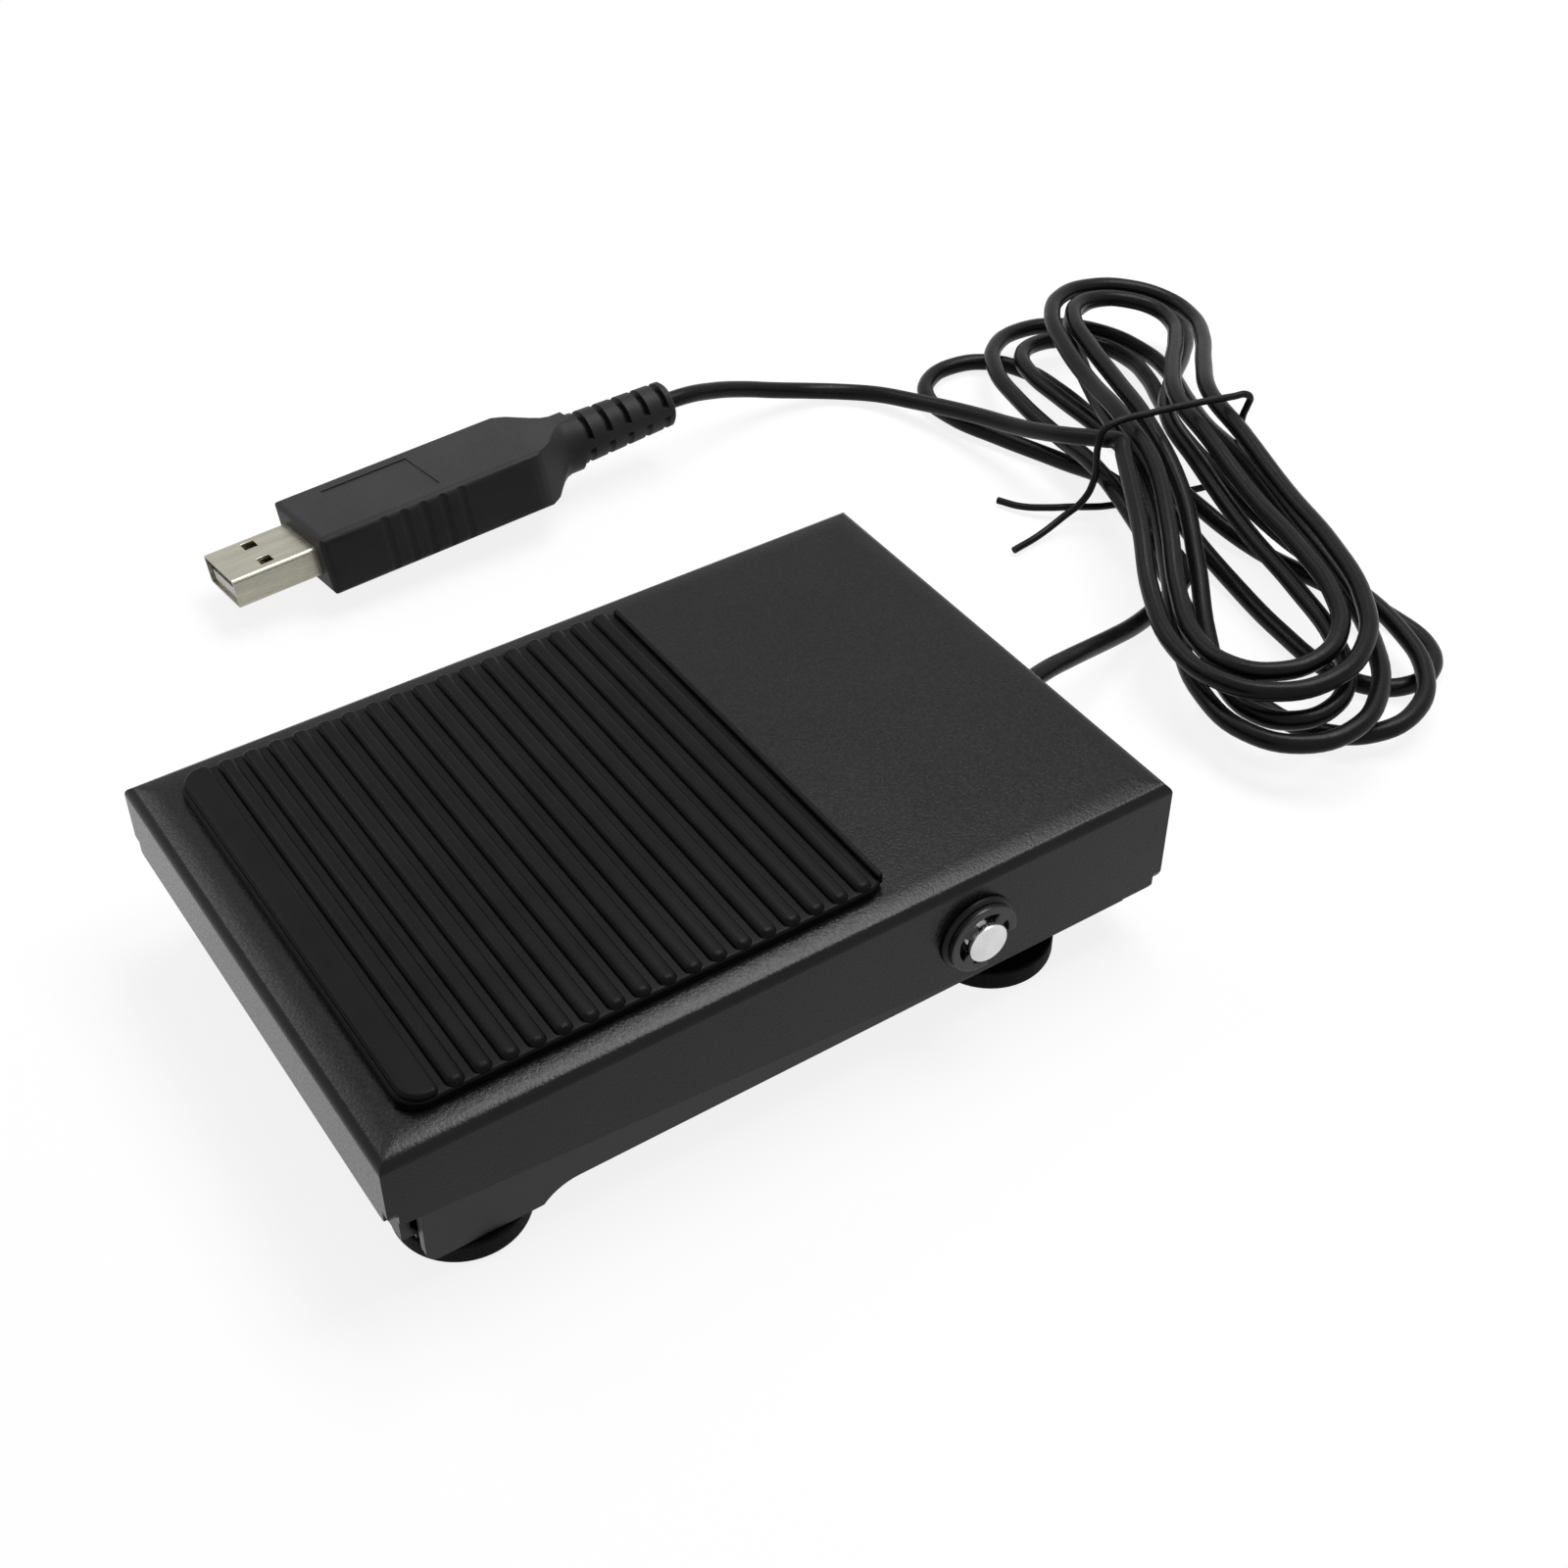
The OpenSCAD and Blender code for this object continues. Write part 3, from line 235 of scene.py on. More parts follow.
# Foot screws and nuts
# Zinc-plated pan-head screws with a cross recess, put up through the feet from below, each with a
# hexagon nut on the tray's floor.
screw_d = 3 * mm
screw_head_h = 1.8 * mm
screw_head_d = 5.6 * mm
head_dome = 0.6
shank_point = 0.12
recess_long = 0.56
recess_wide = 0.12
recess_deep = 0.9
hair = 0.01 * mm


def select_where(piece, kind, wanted):
    """Selects, in edit mode, the edges or faces of a piece whose corners are at the wanted places."""
    bpy.ops.mesh.select_all(action="DESELECT")
    bpy.ops.mesh.select_mode(type=kind)
    shape = bmesh.from_edit_mesh(piece.data)
    for part in shape.edges if kind == "EDGE" else shape.faces:
        part.select_set(wanted([corner.co for corner in part.verts]))
    bmesh.update_edit_mesh(piece.data)


def select_at(piece, height, kind):
    """Selects, in edit mode, the edges or faces of a piece that lie at one height."""
    select_where(piece, kind, lambda places: all(abs(place.z - height) < hair for place in places))


def pan_screw(name, shank_d, shank_l, head_d, head_h):
    """A pan-head screw with a cross recess. Its head stands on the origin, and its shank goes down."""
    bpy.ops.object.select_all(action="DESELECT")
    bpy.ops.mesh.primitive_cylinder_add(
        vertices=40, radius=head_d / 2, depth=head_h, location=(0, 0, head_h / 2)
    )
    screw = bpy.context.active_object
    screw.name = name
    bpy.ops.object.transform_apply(location=True, rotation=False, scale=False)
    bpy.ops.object.mode_set(mode="EDIT")
    select_at(screw, head_h, "EDGE")
    bpy.ops.mesh.bevel(offset=head_h * head_dome, segments=6, affect="EDGES")
    select_at(screw, 0, "FACE")
    bpy.ops.mesh.inset(thickness=(head_d - shank_d) / 2)
    bpy.ops.mesh.extrude_region_move(TRANSFORM_OT_translate={"value": (0, 0, -shank_l)})
    select_at(screw, -shank_l, "EDGE")
    bpy.ops.mesh.bevel(offset=shank_d * shank_point, segments=2, affect="EDGES")
    bpy.ops.object.mode_set(mode="OBJECT")
    long_side = head_d * recess_long
    short_side = head_d * recess_wide
    deep = head_h * recess_deep
    for size in ((long_side, short_side, deep), (short_side, long_side, deep)):
        bpy.ops.object.select_all(action="DESELECT")
        bpy.ops.mesh.primitive_cube_add(size=1, location=(0, 0, head_h), scale=size)
        cutter = bpy.context.active_object
        bpy.ops.object.transform_apply(location=True, rotation=True, scale=True)
        pick(screw)
        recess = screw.modifiers.new("Recess", "BOOLEAN")
        recess.operation = "DIFFERENCE"
        recess.object = cutter
        bpy.ops.object.modifier_apply(modifier=recess.name)
        bpy.data.objects.remove(cutter)
    bpy.ops.object.shade_smooth_by_angle(angle=sharp_turn)
    return screw


def set_out(screw, name, places, head_down=False):
    """Copies of one screw at several places, joined into one piece at the origin."""
    made = []
    for place in places:
        pick(screw)
        bpy.ops.object.duplicate()
        copy = bpy.context.active_object
        copy.location = place
        copy.rotation_euler.x = math.pi if head_down else 0
        made.append(copy)
    bpy.data.objects.remove(screw)
    bpy.ops.object.select_all(action="DESELECT")
    for copy in made:
        copy.select_set(True)
    bpy.context.view_layer.objects.active = made[0]
    bpy.ops.object.transform_apply(location=True, rotation=True, scale=True)
    if len(made) > 1:
        bpy.ops.object.join()
    made[0].name = name
    return made[0]


def dress(node, finish):
    """Gives a CAD node its finish."""
    frame["nodes"][node].data.materials.clear()
    frame["nodes"][node].data.materials.append(finish)


zinc_steel = grained(
    "zinc plate", dark=(0.5, 0.51, 0.54), light=(0.6, 0.61, 0.63), rough=(0.24, 0.42),
    grain=0.35 * mm, drift=3 * mm, depth=0.003 * mm, metallic=1.0,
)
foot_middles = []
for place in foot_names:
    low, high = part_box("rubber_foot_" + place)
    foot_middles.append((Vector(low) + Vector(high)) / 2)
screw_low, screw_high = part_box("foot_screws")
screw_seat = screw_low[2] + screw_head_h
foot_screw = pan_screw("foot_screw", screw_d, screw_high[2] - screw_seat, screw_head_d, screw_head_h)
foot_screws = set_out(
    foot_screw, "foot_screws_turned", [(p.x, p.y, screw_seat) for p in foot_middles], head_down=True
)
stand_for(foot_screws, zinc_steel, "foot_screws")
dress("foot_nuts", zinc_steel)

# Switch board, spacers and screws
# A small green circuit board on four turned brass spacers, each held by a pan-head screw into the tray.
# Its copper shows through the green mask as paler streaks.
spacer_brass = grained(
    "turned brass", dark=(0.5, 0.37, 0.13), light=(0.62, 0.48, 0.2), rough=(0.2, 0.36),
    grain=0.4 * mm, drift=4 * mm, depth=0.004 * mm, metallic=1.0, stretch=(0.2, 0.2, 3),
)
board_mask = grained(
    "board mask", dark=(0.012, 0.085, 0.03), light=(0.02, 0.12, 0.045), rough=(0.28, 0.4),
    grain=0.5 * mm, drift=2.5 * mm, depth=0.01 * mm, stretch=(2.6, 0.5, 1),
)
dress("board_spacers", spacer_brass)
dress("switch_board", board_mask)
board_screw_d = 2.5 * mm
board_head_d = 4 * mm
low, high = (Vector(corner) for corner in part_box("board_screws"))
board_seat = high.z - screw_head_h
reach = board_head_d / 2
board_places = [
    (x, y, board_seat)
    for x in (low.x + reach, high.x - reach)
    for y in (low.y + reach, high.y - reach)
]
board_screw = pan_screw("board_screw", board_screw_d, board_seat - low.z, board_head_d, screw_head_h)
stand_for(set_out(board_screw, "board_screws_turned", board_places), zinc_steel, "board_screws")

# Key switch
# A square moulded switch housing soldered to the board, with a glossy red stem that the cover's stud
# presses down.
switch_plastic = grained(
    "switch plastic", dark=grey(0.02), light=grey(0.03), rough=(0.38, 0.55),
    grain=0.2 * mm, drift=5 * mm, depth=0.003 * mm,
)
stem_plastic = grained(
    "red stem plastic", dark=(0.36, 0.02, 0.014), light=(0.48, 0.035, 0.025), rough=(0.16, 0.26),
    grain=0.3 * mm, drift=3 * mm, depth=0.002 * mm,
)
switch_edge = 0.2 * mm
rounded("switch_housing", "switch_case", switch_plastic, switch_edge)
rounded("switch_stem", "switch_plunger", stem_plastic, switch_edge)

# Return springs
# Two compression springs of bright steel wire, six coils each with closed ends. They stand on bosses of
# the tray, hold the front of the cover up, and shorten as it goes down.
spring_d = 7.6 * mm
spring_wire = 1 * mm
spring_coils = 6
spring_steps = 24
closed_turns = 0.6
open_share = 0.35
bright_steel = grained(
    "bright steel", dark=(0.6, 0.6, 0.61), light=(0.7, 0.7, 0.7), rough=(0.14, 0.3),
    grain=0.25 * mm, drift=3 * mm, depth=0.002 * mm, metallic=1.0,
)


def ease(x):
    """Goes smoothly from 0 to 1."""
    held = min(1, max(0, x))
    return held * held * (3 - 2 * held)


def wire(name, points, diameter):
    """A round wire or cord on one smooth line through the points."""
    line = bpy.data.curves.new(name, "CURVE")
    line.dimensions = "3D"
    line.resolution_u = 6
    line.bevel_depth = diameter / 2
    line.bevel_resolution = 4
    line.use_fill_caps = True
    spline = line.splines.new("BEZIER")
    spline.bezier_points.add(len(points) - 1)
    for knot, point in zip(spline.bezier_points, points):
        knot.co = point
        knot.handle_left_type = "AUTO"
        knot.handle_right_type = "AUTO"
    piece = bpy.data.objects.new(name, line)
    bpy.context.collection.objects.link(piece)
    return piece


for side in ("left", "right"):
    node = "return_spring_" + side
    low, high = (Vector(corner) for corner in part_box(node))
    middle = (low + high) / 2
    coil = []
    for step in range(spring_coils * spring_steps + 1):
        turn = step / spring_steps
        opened = ease((turn - closed_turns) / (spring_coils - 2 * closed_turns))
        rise = open_share * opened + (1 - open_share) * turn / spring_coils
        coil.append((
            middle.x + spring_d / 2 * math.cos(math.tau * turn),
            middle.y + spring_d / 2 * math.sin(math.tau * turn),
            low.z + spring_wire / 2 + rise * (high.z - low.z - spring_wire),
        ))
    spring = wire("spring_" + side, coil, spring_wire)
    pick(spring)
    bpy.ops.object.convert(target="MESH")
    spring = bpy.context.active_object
    stand_for(spring, bright_steel, node)
    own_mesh(spring)

# Pivot pin
# A turned bright steel pin through the tray's side walls, with a groove near each end for a clip. Its ends
# are softly domed, and the lathe leaves fine rings on them.
pin_low, pin_high = (Vector(corner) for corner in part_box("pivot_pin"))
pivot = (pin_low + pin_high) / 2
pin_steel = bright_steel.copy()
pin_steel.name = "turned pin steel"
tree = pin_steel.node_tree
place = add(tree, "ShaderNodeTexCoord")
centred = add(tree, "ShaderNodeMapping", {
    "Vector": place.outputs["Object"],
    "Location": (0, -pivot.y, -pivot.z),
})
rings = add(tree, "ShaderNodeTexWave", {
    "Vector": centred.outputs["Vector"],
    "Scale": 900.0,
    "Distortion": 1.5,
}, wave_type="RINGS", rings_direction="X", label="Lathe rings")
ringed = add(tree, "ShaderNodeBump", {
    "Height": rings.outputs["Fac"],
    "Distance": 0.004 * mm,
    "Strength": 1.0,
    "Normal": tree.nodes["Bump"].outputs["Normal"],
}, label="Ringed")
tree.links.new(ringed.outputs["Normal"], tree.nodes["Principled BSDF"].inputs["Normal"])
pin_r = pin_high.z - pivot.z
pin_chamfer = 0.4 * mm
pin_dome = 0.9 * mm
dome_rings = 8
dome_turn = math.radians(82)


def dome_ends(piece):
    """Turns the pin's two flat ends to shallow domes."""
    flat_r = pin_r - pin_chamfer
    bpy.ops.object.mode_set(mode="EDIT")
    select_where(piece, "FACE", lambda places: all(abs(place.x) > pin_high.x - hair for place in places))
    for ring in range(dome_rings - 1):
        bpy.ops.mesh.inset(thickness=flat_r / dome_rings)
    bpy.ops.object.mode_set(mode="OBJECT")
    for corner in piece.data.vertices:
        back = pin_high.x - abs(corner.co.x)
        if back < pin_chamfer + hair:
            out = Vector((0, corner.co.y - pivot.y, corner.co.z - pivot.z))
            if back < hair:
                turn = dome_turn * out.length / flat_r
            else:
                turn = dome_turn + (math.pi / 2 - dome_turn) * back / pin_chamfer
            place = out.normalized() * pin_r * math.sin(turn)
            end = math.copysign(pin_high.x - pin_dome * (1 - math.cos(turn)), corner.co.x)
            corner.co = (end, pivot.y + place.y, pivot.z + place.z)


rounded("pivot_pin", "pivot_pin_turned", pin_steel, shaped=dome_ends)

# Cover
# The rocking cover: one blank of sheet steel with its four sides folded down, powder coated black. Its top
# leans over a little towards each fold. The coat is a fine satin grain, which sparkles along the bends.
powder_coat = grained(
    "powder coat", dark=grey(0.003), light=grey(0.0055), rough=(0.16, 0.32),
    grain=0.36 * mm, drift=16 * mm, depth=0.03 * mm, specular=0.17,
)
cover_high = Vector(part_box("pedal_cover")[1])
cad_fold_r = 2 * mm
fold_r = 1.2 * mm
fold_x = cover_high.x - fold_r
fold_y = cover_high.y - fold_r
fold_z = cover_high.z - fold_r
lean_w = 2.4 * mm
lean_slope = 0.16
lean_steps = 4


def lean(past):
    """How far the top has dropped at a distance past the start of its lean."""
    if past < 0:
        return 0
    if past < lean_w:
        return lean_slope * past * past / (2 * lean_w)
    return lean_slope * (past - lean_w / 2)


def press_folds(piece):
    """Presses the cover's folds tighter, leans its top down to them, and creases their mitres."""
    for corner in piece.data.vertices:
        past_x = abs(corner.co.x) - cover_high.x + cad_fold_r
        past_y = abs(corner.co.y) - cover_high.y + cad_fold_r
        up = corner.co.z - cover_high.z + cad_fold_r
        past = max(past_x, past_y)
        if past > -hair and up > -hair and math.hypot(past, up) > cad_fold_r - hair:
            turn = math.atan2(up, past)
            if past_x > -hair:
                corner.co.x = math.copysign(fold_x + fold_r * math.cos(turn), corner.co.x)
            if past_y > -hair:
                corner.co.y = math.copysign(fold_y + fold_r * math.cos(turn), corner.co.y)
            corner.co.z = fold_z + fold_r * math.sin(turn)
    bpy.ops.object.mode_set(mode="EDIT")
    for step in range(lean_steps):
        back = lean_w * (1 - step / lean_steps)
        for side in (-1, 1):
            for place, facing in (
                ((side * (fold_x - back), 0, 0), (1, 0, 0)),
                ((0, side * (fold_y - back), 0), (0, 1, 0)),
            ):
                select_at(piece, cover_high.z, "FACE")
                bpy.ops.mesh.bisect(plane_co=place, plane_no=facing)
    bpy.ops.object.mode_set(mode="OBJECT")
    for corner in piece.data.vertices:
        past = max(abs(corner.co.x) - fold_x, abs(corner.co.y) - fold_y)
        above = corner.co.z - fold_z
        if above > hair or (above > -hair and past > fold_r - hair):
            corner.co.z -= lean(past + lean_w)
    for line in piece.data.edges:
        a, b = (piece.data.vertices[index].co for index in line.vertices)
        on_mitre = all(abs(abs(end.x) - fold_x - abs(end.y) + fold_y) < hair for end in (a, b))
        past_fold = min(abs(a.x), abs(b.x)) > fold_x - hair
        line.use_edge_sharp = on_mitre and past_fold and a.x * b.x > 0 and a.y * b.y > 0


rounded("pedal_cover", "cover_coated", powder_coat, shaped=press_folds)

# Tread pad
# A square mat of matte black rubber, glued on the cover. A plain band at the front, 17 ribs with round ends
# and a narrow band at the rear stand up from its sheet, all with soft moulded edges.
pad_rubber = grained(
    "pad rubber", dark=grey(0.0025), light=grey(0.0048), rough=(0.3, 0.45),
    grain=0.26 * mm, drift=7 * mm, depth=0.01 * mm, specular=0.06,
)
pad_low, pad_high = (Vector(corner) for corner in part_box("tread_pad"))
pad_sheet_t = 1.3 * mm
pad_r = 3 * mm
pad_margin = 0.4 * mm
sheet_soft = 0.4 * mm
front_band = 3.8 * mm
front_band_r = 0.7 * mm
front_band_soft = 0.5 * mm
rear_band = 0.82 * mm
rear_band_inset = 0.7 * mm
rear_band_front_r = 0.36 * mm
rear_band_rear_r = 0.4 * mm
rear_band_soft = 0.3 * mm
rib_n = 17
rib_w = 2.3 * mm
rib_groove = 0.86 * mm
rib_inset = 0.12 * mm
rib_end_r = 0.42 * rib_w
rib_soft = 0.86 * mm
pad_turn = math.radians(40)


def select_uprights(piece, y):
    """Selects, in edit mode, the upright corner edges of a block at one place along it."""
    def upright(ends):
        a, b = ends
        return all(abs(gap) < weld for gap in (a.x - b.x, a.y - b.y, a.y - y))

    select_where(piece, "EDGE", upright)


def rubber_block(low, high, front_r, rear_r, soft):
    """A block of rubber with round corners seen from above and a softly rounded upper rim."""
    bpy.ops.object.select_all(action="DESELECT")
    bpy.ops.mesh.primitive_cube_add(size=1, location=(low + high) / 2, scale=high - low)
    block = bpy.context.active_object
    bpy.ops.object.transform_apply(location=True, rotation=True, scale=True)
    bpy.ops.object.mode_set(mode="EDIT")
    select_uprights(block, low.y)
    bpy.ops.mesh.bevel(offset=front_r, segments=8, affect="EDGES")
    select_uprights(block, high.y)
    bpy.ops.mesh.bevel(offset=rear_r, segments=8, affect="EDGES")
    select_at(block, high.z, "EDGE")
    bpy.ops.mesh.bevel(offset=soft, segments=6, affect="EDGES")
    bpy.ops.object.mode_set(mode="OBJECT")
    return block


rib_foot_z = pad_low.z + pad_sheet_t / 2
ribs_low = Vector((pad_low.x + rib_inset, pad_low.y + pad_margin, rib_foot_z))
ribs_high = Vector((pad_high.x - rib_inset, pad_high.y - pad_margin, pad_high.z))
corner_r = pad_r - pad_margin
blocks = [
    rubber_block(
        pad_low, Vector((pad_high.x, pad_high.y, pad_low.z + pad_sheet_t)), pad_r, pad_r, sheet_soft
    ),
    rubber_block(
        ribs_low, Vector((ribs_high.x, ribs_low.y + front_band, ribs_high.z)),
        corner_r, front_band_r, front_band_soft,
    ),
    rubber_block(
        Vector((ribs_low.x + rear_band_inset, ribs_high.y - rear_band, rib_foot_z)),
        Vector((ribs_high.x - rear_band_inset, ribs_high.y, ribs_high.z)),
        rear_band_front_r, rear_band_rear_r, rear_band_soft,
    ),
]
for rib in range(rib_n):
    rib_y = ribs_low.y + front_band + rib_groove + rib * (rib_w + rib_groove)
    blocks.append(rubber_block(
        Vector((ribs_low.x, rib_y, rib_foot_z)), Vector((ribs_high.x, rib_y + rib_w, ribs_high.z)),
        rib_end_r, rib_end_r, rib_soft,
    ))
bpy.ops.object.select_all(action="DESELECT")
for block in blocks:
    block.select_set(True)
pad = blocks[0]
bpy.context.view_layer.objects.active = pad
bpy.ops.object.join()
pad.name = "pad_moulded"
bpy.ops.object.shade_smooth_by_angle(angle=pad_turn)
stand_for(pad, pad_rubber, "tread_pad")

# Press stud
# A stud turned from bright steel and riveted under the cover. It presses the switch's stem down as the
# cover rocks.
dress("press_stud", bright_steel)

# Pivot bushes and clips
# Black nylon bushes with a flange, pressed into the cover's sides, turn on the pin. A black spring-steel
# clip in the pin's groove holds each one on.
bush_nylon = grained(
    "bush nylon", dark=grey(0.004), light=grey(0.007), rough=(0.34, 0.5),
    grain=0.2 * mm, drift=4 * mm, depth=0.004 * mm, specular=0.15,
)
clip_steel = grained(
    "blackened spring steel", dark=grey(0.01), light=grey(0.018), rough=(0.24, 0.38),
    grain=0.2 * mm, drift=2 * mm, depth=0.004 * mm, specular=0.3,
)
bush_edge = 0.15 * mm
clip_edge = 0.12 * mm
for side in ("left", "right"):
    rounded("pivot_bush_" + side, "bush_" + side, bush_nylon, bush_edge)
    rounded("pivot_clip_" + side, "clip_" + side, clip_steel, clip_edge)

# Cable entry
# A rubber grommet in the tray's rear wall, and inside it a nylon saddle clamp with a screw, which takes the
# pull of the cable.
grommet_rubber = grained(
    "grommet rubber", dark=grey(0.008), light=grey(0.014), rough=(0.5, 0.68),
    grain=0.25 * mm, drift=4 * mm, depth=0.006 * mm, specular=0.35,
)
clamp_nylon = grained(
    "natural nylon", dark=(0.62, 0.61, 0.55), light=(0.72, 0.71, 0.66), rough=(0.32, 0.46),
    grain=0.3 * mm, drift=4 * mm, depth=0.004 * mm,
)
grommet_edge = 0.2 * mm
rounded("cable_grommet", "grommet_moulded", grommet_rubber, grommet_edge)
rounded("cable_clamp", "clamp_moulded", clamp_nylon)
low, high = (Vector(corner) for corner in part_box("clamp_screw"))
clamp_seat = high.z - screw_head_h
clamp_screw = pan_screw("clamp_screw_one", screw_d, clamp_seat - low.z, screw_head_d, screw_head_h)
clamp_place = ((low.x + high.x) / 2, (low.y + high.y) / 2, clamp_seat)
stand_for(set_out(clamp_screw, "clamp_screw_turned", [clamp_place]), zinc_steel, "clamp_screw")

# Cable
# A round two-core cable in satin black PVC, about 1.66 m long. It comes up through the clamp and grommet,
# runs to a hank of six loops laid on each other in four layers, and goes from there to the plug.
cable_d = 2.7 * mm
clamp_gap = 0.1 * mm
clamp_lead = 1.5 * mm
grommet_lead = 0.9 * mm
rise_steps = 4
tray_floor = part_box("cable_clamp")[0][2]
clamp_low, clamp_high = (Vector(corner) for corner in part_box("cable_clamp"))
clamp_w = clamp_high.y - clamp_low.y
clamp_y = (clamp_low.y + clamp_high.y) / 2
grommet_low, grommet_high = (Vector(corner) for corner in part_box("cable_grommet"))
cable_z = (grommet_low.z + grommet_high.z) / 2
held_z = tray_floor + cable_d / 2 + clamp_gap
jacket_end = Vector((0, clamp_y - clamp_w, held_z))
rise_to = grommet_low.y - grommet_lead
rear = Vector((0, cover_high.y, 0))

inner_route = [jacket_end, Vector((0, clamp_y - clamp_lead, held_z))]
for step in range(rise_steps + 1):
    share = step / rise_steps
    inner_route.append(Vector((
        0,
        clamp_high.y + share * (rise_to - clamp_high.y),
        held_z + ease(share) * (cable_z - held_z),
    )))


def behind(points):
    """Points in millimetres from the middle of the cover's rear edge on the floor, in the frame."""
    return [rear + Vector(point) * mm for point in points]


lead_route = behind((
    (0, 0.5, 12), (-1, 5.5, 12), (-3, 11.5, 11), (-5, 17.5, 9.2), (-7.2, 23.5, 7), (-9.2, 29, 5),
    (-11.2, 34.5, 3.2), (-13.2, 39.5, 2), (-14.8, 43.5, 1.5), (-16.2, 47.5, 1.5), (-18.4, 50.8, 1.5),
))
tail_route = behind((
    (-39.4, 51.3, 13.4), (-45, 49.5, 11.6), (-51, 48.7, 9.4), (-57.5, 48.3, 7.2), (-64, 47.5, 5.6),
    (-70.5, 46, 4.2), (-77, 43.9, 2.9), (-83, 41.1, 2), (-87.4, 37.1, 1.6), (-90, 32, 2.2),
    (-90.9, 26, 3.9), (-91, 20, 6.1), (-90.4, 14, 8.2),
))

# The hank in its own axes, in millimetres: u along it and v across it. Its line is counted in half turns.
# Each layer has its reach, its fan in degrees and the levels of its two sides, at either end of the hank.
hank_at = (-36, 61.5)
hank_turn = math.radians(-14)
hank_start, hank_end, hank_steps = 0.44, 12.45, 144
waist_in, waist_spread = 2.2, 8
loop_w, loop_spread, loop_step = 20, 10, 6.5
end_blunt, end_blunt_step = 0.01, 0.04
fan_lead, least_reach = 12, 0.01
layer_h, strand_z, waist_lift = 3.9, 1.45, 1.6
waist_reach, ends_from, ends_over = 18, 14, 32
far_loops = {
    "reach": (50, 46, 51, 46), "fan": (27, -4, -25, -20), "near": (0, 1, 2, 3), "far": (0, 0, 1, 2),
}
near_loops = {
    "reach": (58, 61, 65, 57), "fan": (17, 3, -11, -12), "near": (0, 0, 1, 2), "far": (0, 1, 2, 3),
}
climbs = (2.36, 5.36, 8.36)
climb_turns = 0.28


def hank_place(u, v, z):
    """A place in the hank's own axes, in millimetres, in the frame."""
    return behind([(
        hank_at[0] + u * math.cos(hank_turn) - v * math.sin(hank_turn),
        hank_at[1] + u * math.sin(hank_turn) + v * math.cos(hank_turn),
        z,
    )])[0]


def spiral(t):
    """How far out a strand lies: 1 outermost, 0 innermost. Each layer takes three half turns in or out."""
    m = (t + 0.5) % 6
    if t > 8.5:
        return min(1, max(0, (t - 9) / 3))
    if m < 2:
        return 1 - m / 2
    if m < 3:
        return 0
    return (m - 3) / 2 if m < 5 else 1


def hank_point(t):
    """The hank's line after t half turns: its waist at each half, the ends of its loops at each whole."""
    c = math.cos(math.pi * t)
    s = math.sin(math.pi * t)
    loops = far_loops if c < 0 else near_loops
    layer = max(0, min(3, math.floor((t + 0.5) / 3)))
    out = spiral(t)
    reach = loops["reach"][layer] + loop_step * (out - 0.5)
    blunt = end_blunt - end_blunt_step * out
    u = reach * (c - blunt * math.cos(3 * math.pi * t)) / (1 - blunt)
    v = -s * ((waist_in + waist_spread * out) * s * s + (loop_w + loop_spread * out) * c * c)
    opened = (math.hypot(u, fan_lead) - fan_lead) / max(abs(u), least_reach)
    fan = math.radians(loops["fan"][layer]) * opened
    climb = sum(ease((t - start) / climb_turns) for start in climbs)
    side = -s * (1.5 - 0.5 * s * s)
    end = loops["near"][layer] * (1 - side) / 2 + loops["far"][layer] * (1 + side) / 2
    outward = ease((abs(u) - ends_from) / ends_over)
    level = climb * (1 - outward) + end * outward
    return hank_place(
        u * math.cos(fan) - v * math.sin(fan),
        u * math.sin(fan) + v * math.cos(fan),
        strand_z + waist_lift * (1 - ease(abs(u) / waist_reach)) + layer_h * level,
    )


turns = [
    hank_point(hank_start + (hank_end - hank_start) * step / hank_steps) for step in range(hank_steps + 1)
]
hank_in = (turns[1] - turns[0]).normalized() * cable_d
hank_out = (turns[-1] - turns[-2]).normalized() * cable_d

plug_pitch = math.radians(3)
plug_at = behind([(-89.5, -70.2, 5.7)])[0]
past_sleeve, in_neck = 77.7, 56.4


def plug_point(along):
    """A point on the plug's axis, in millimetres back from its mouth."""
    return plug_at + Vector((0, math.cos(plug_pitch), math.sin(plug_pitch))) * along * mm


cable_route = (
    inner_route + lead_route
    + [turns[0] - 2 * hank_in, turns[0] - hank_in] + turns + [turns[-1] + hank_out, turns[-1] + 2 * hank_out]
    + tail_route + [plug_point(past_sleeve), plug_point(in_neck)]
)
cable_pvc = grained(
    "cable PVC", dark=grey(0.003), light=grey(0.005), rough=(0.26, 0.4),
    grain=0.5 * mm, drift=9 * mm, depth=0.008 * mm, specular=0.11,
)
cable = wire("cable", cable_route, cable_d)
stand_for(cable, cable_pvc, "cable_lead", "cable_hank", "cable_tail")

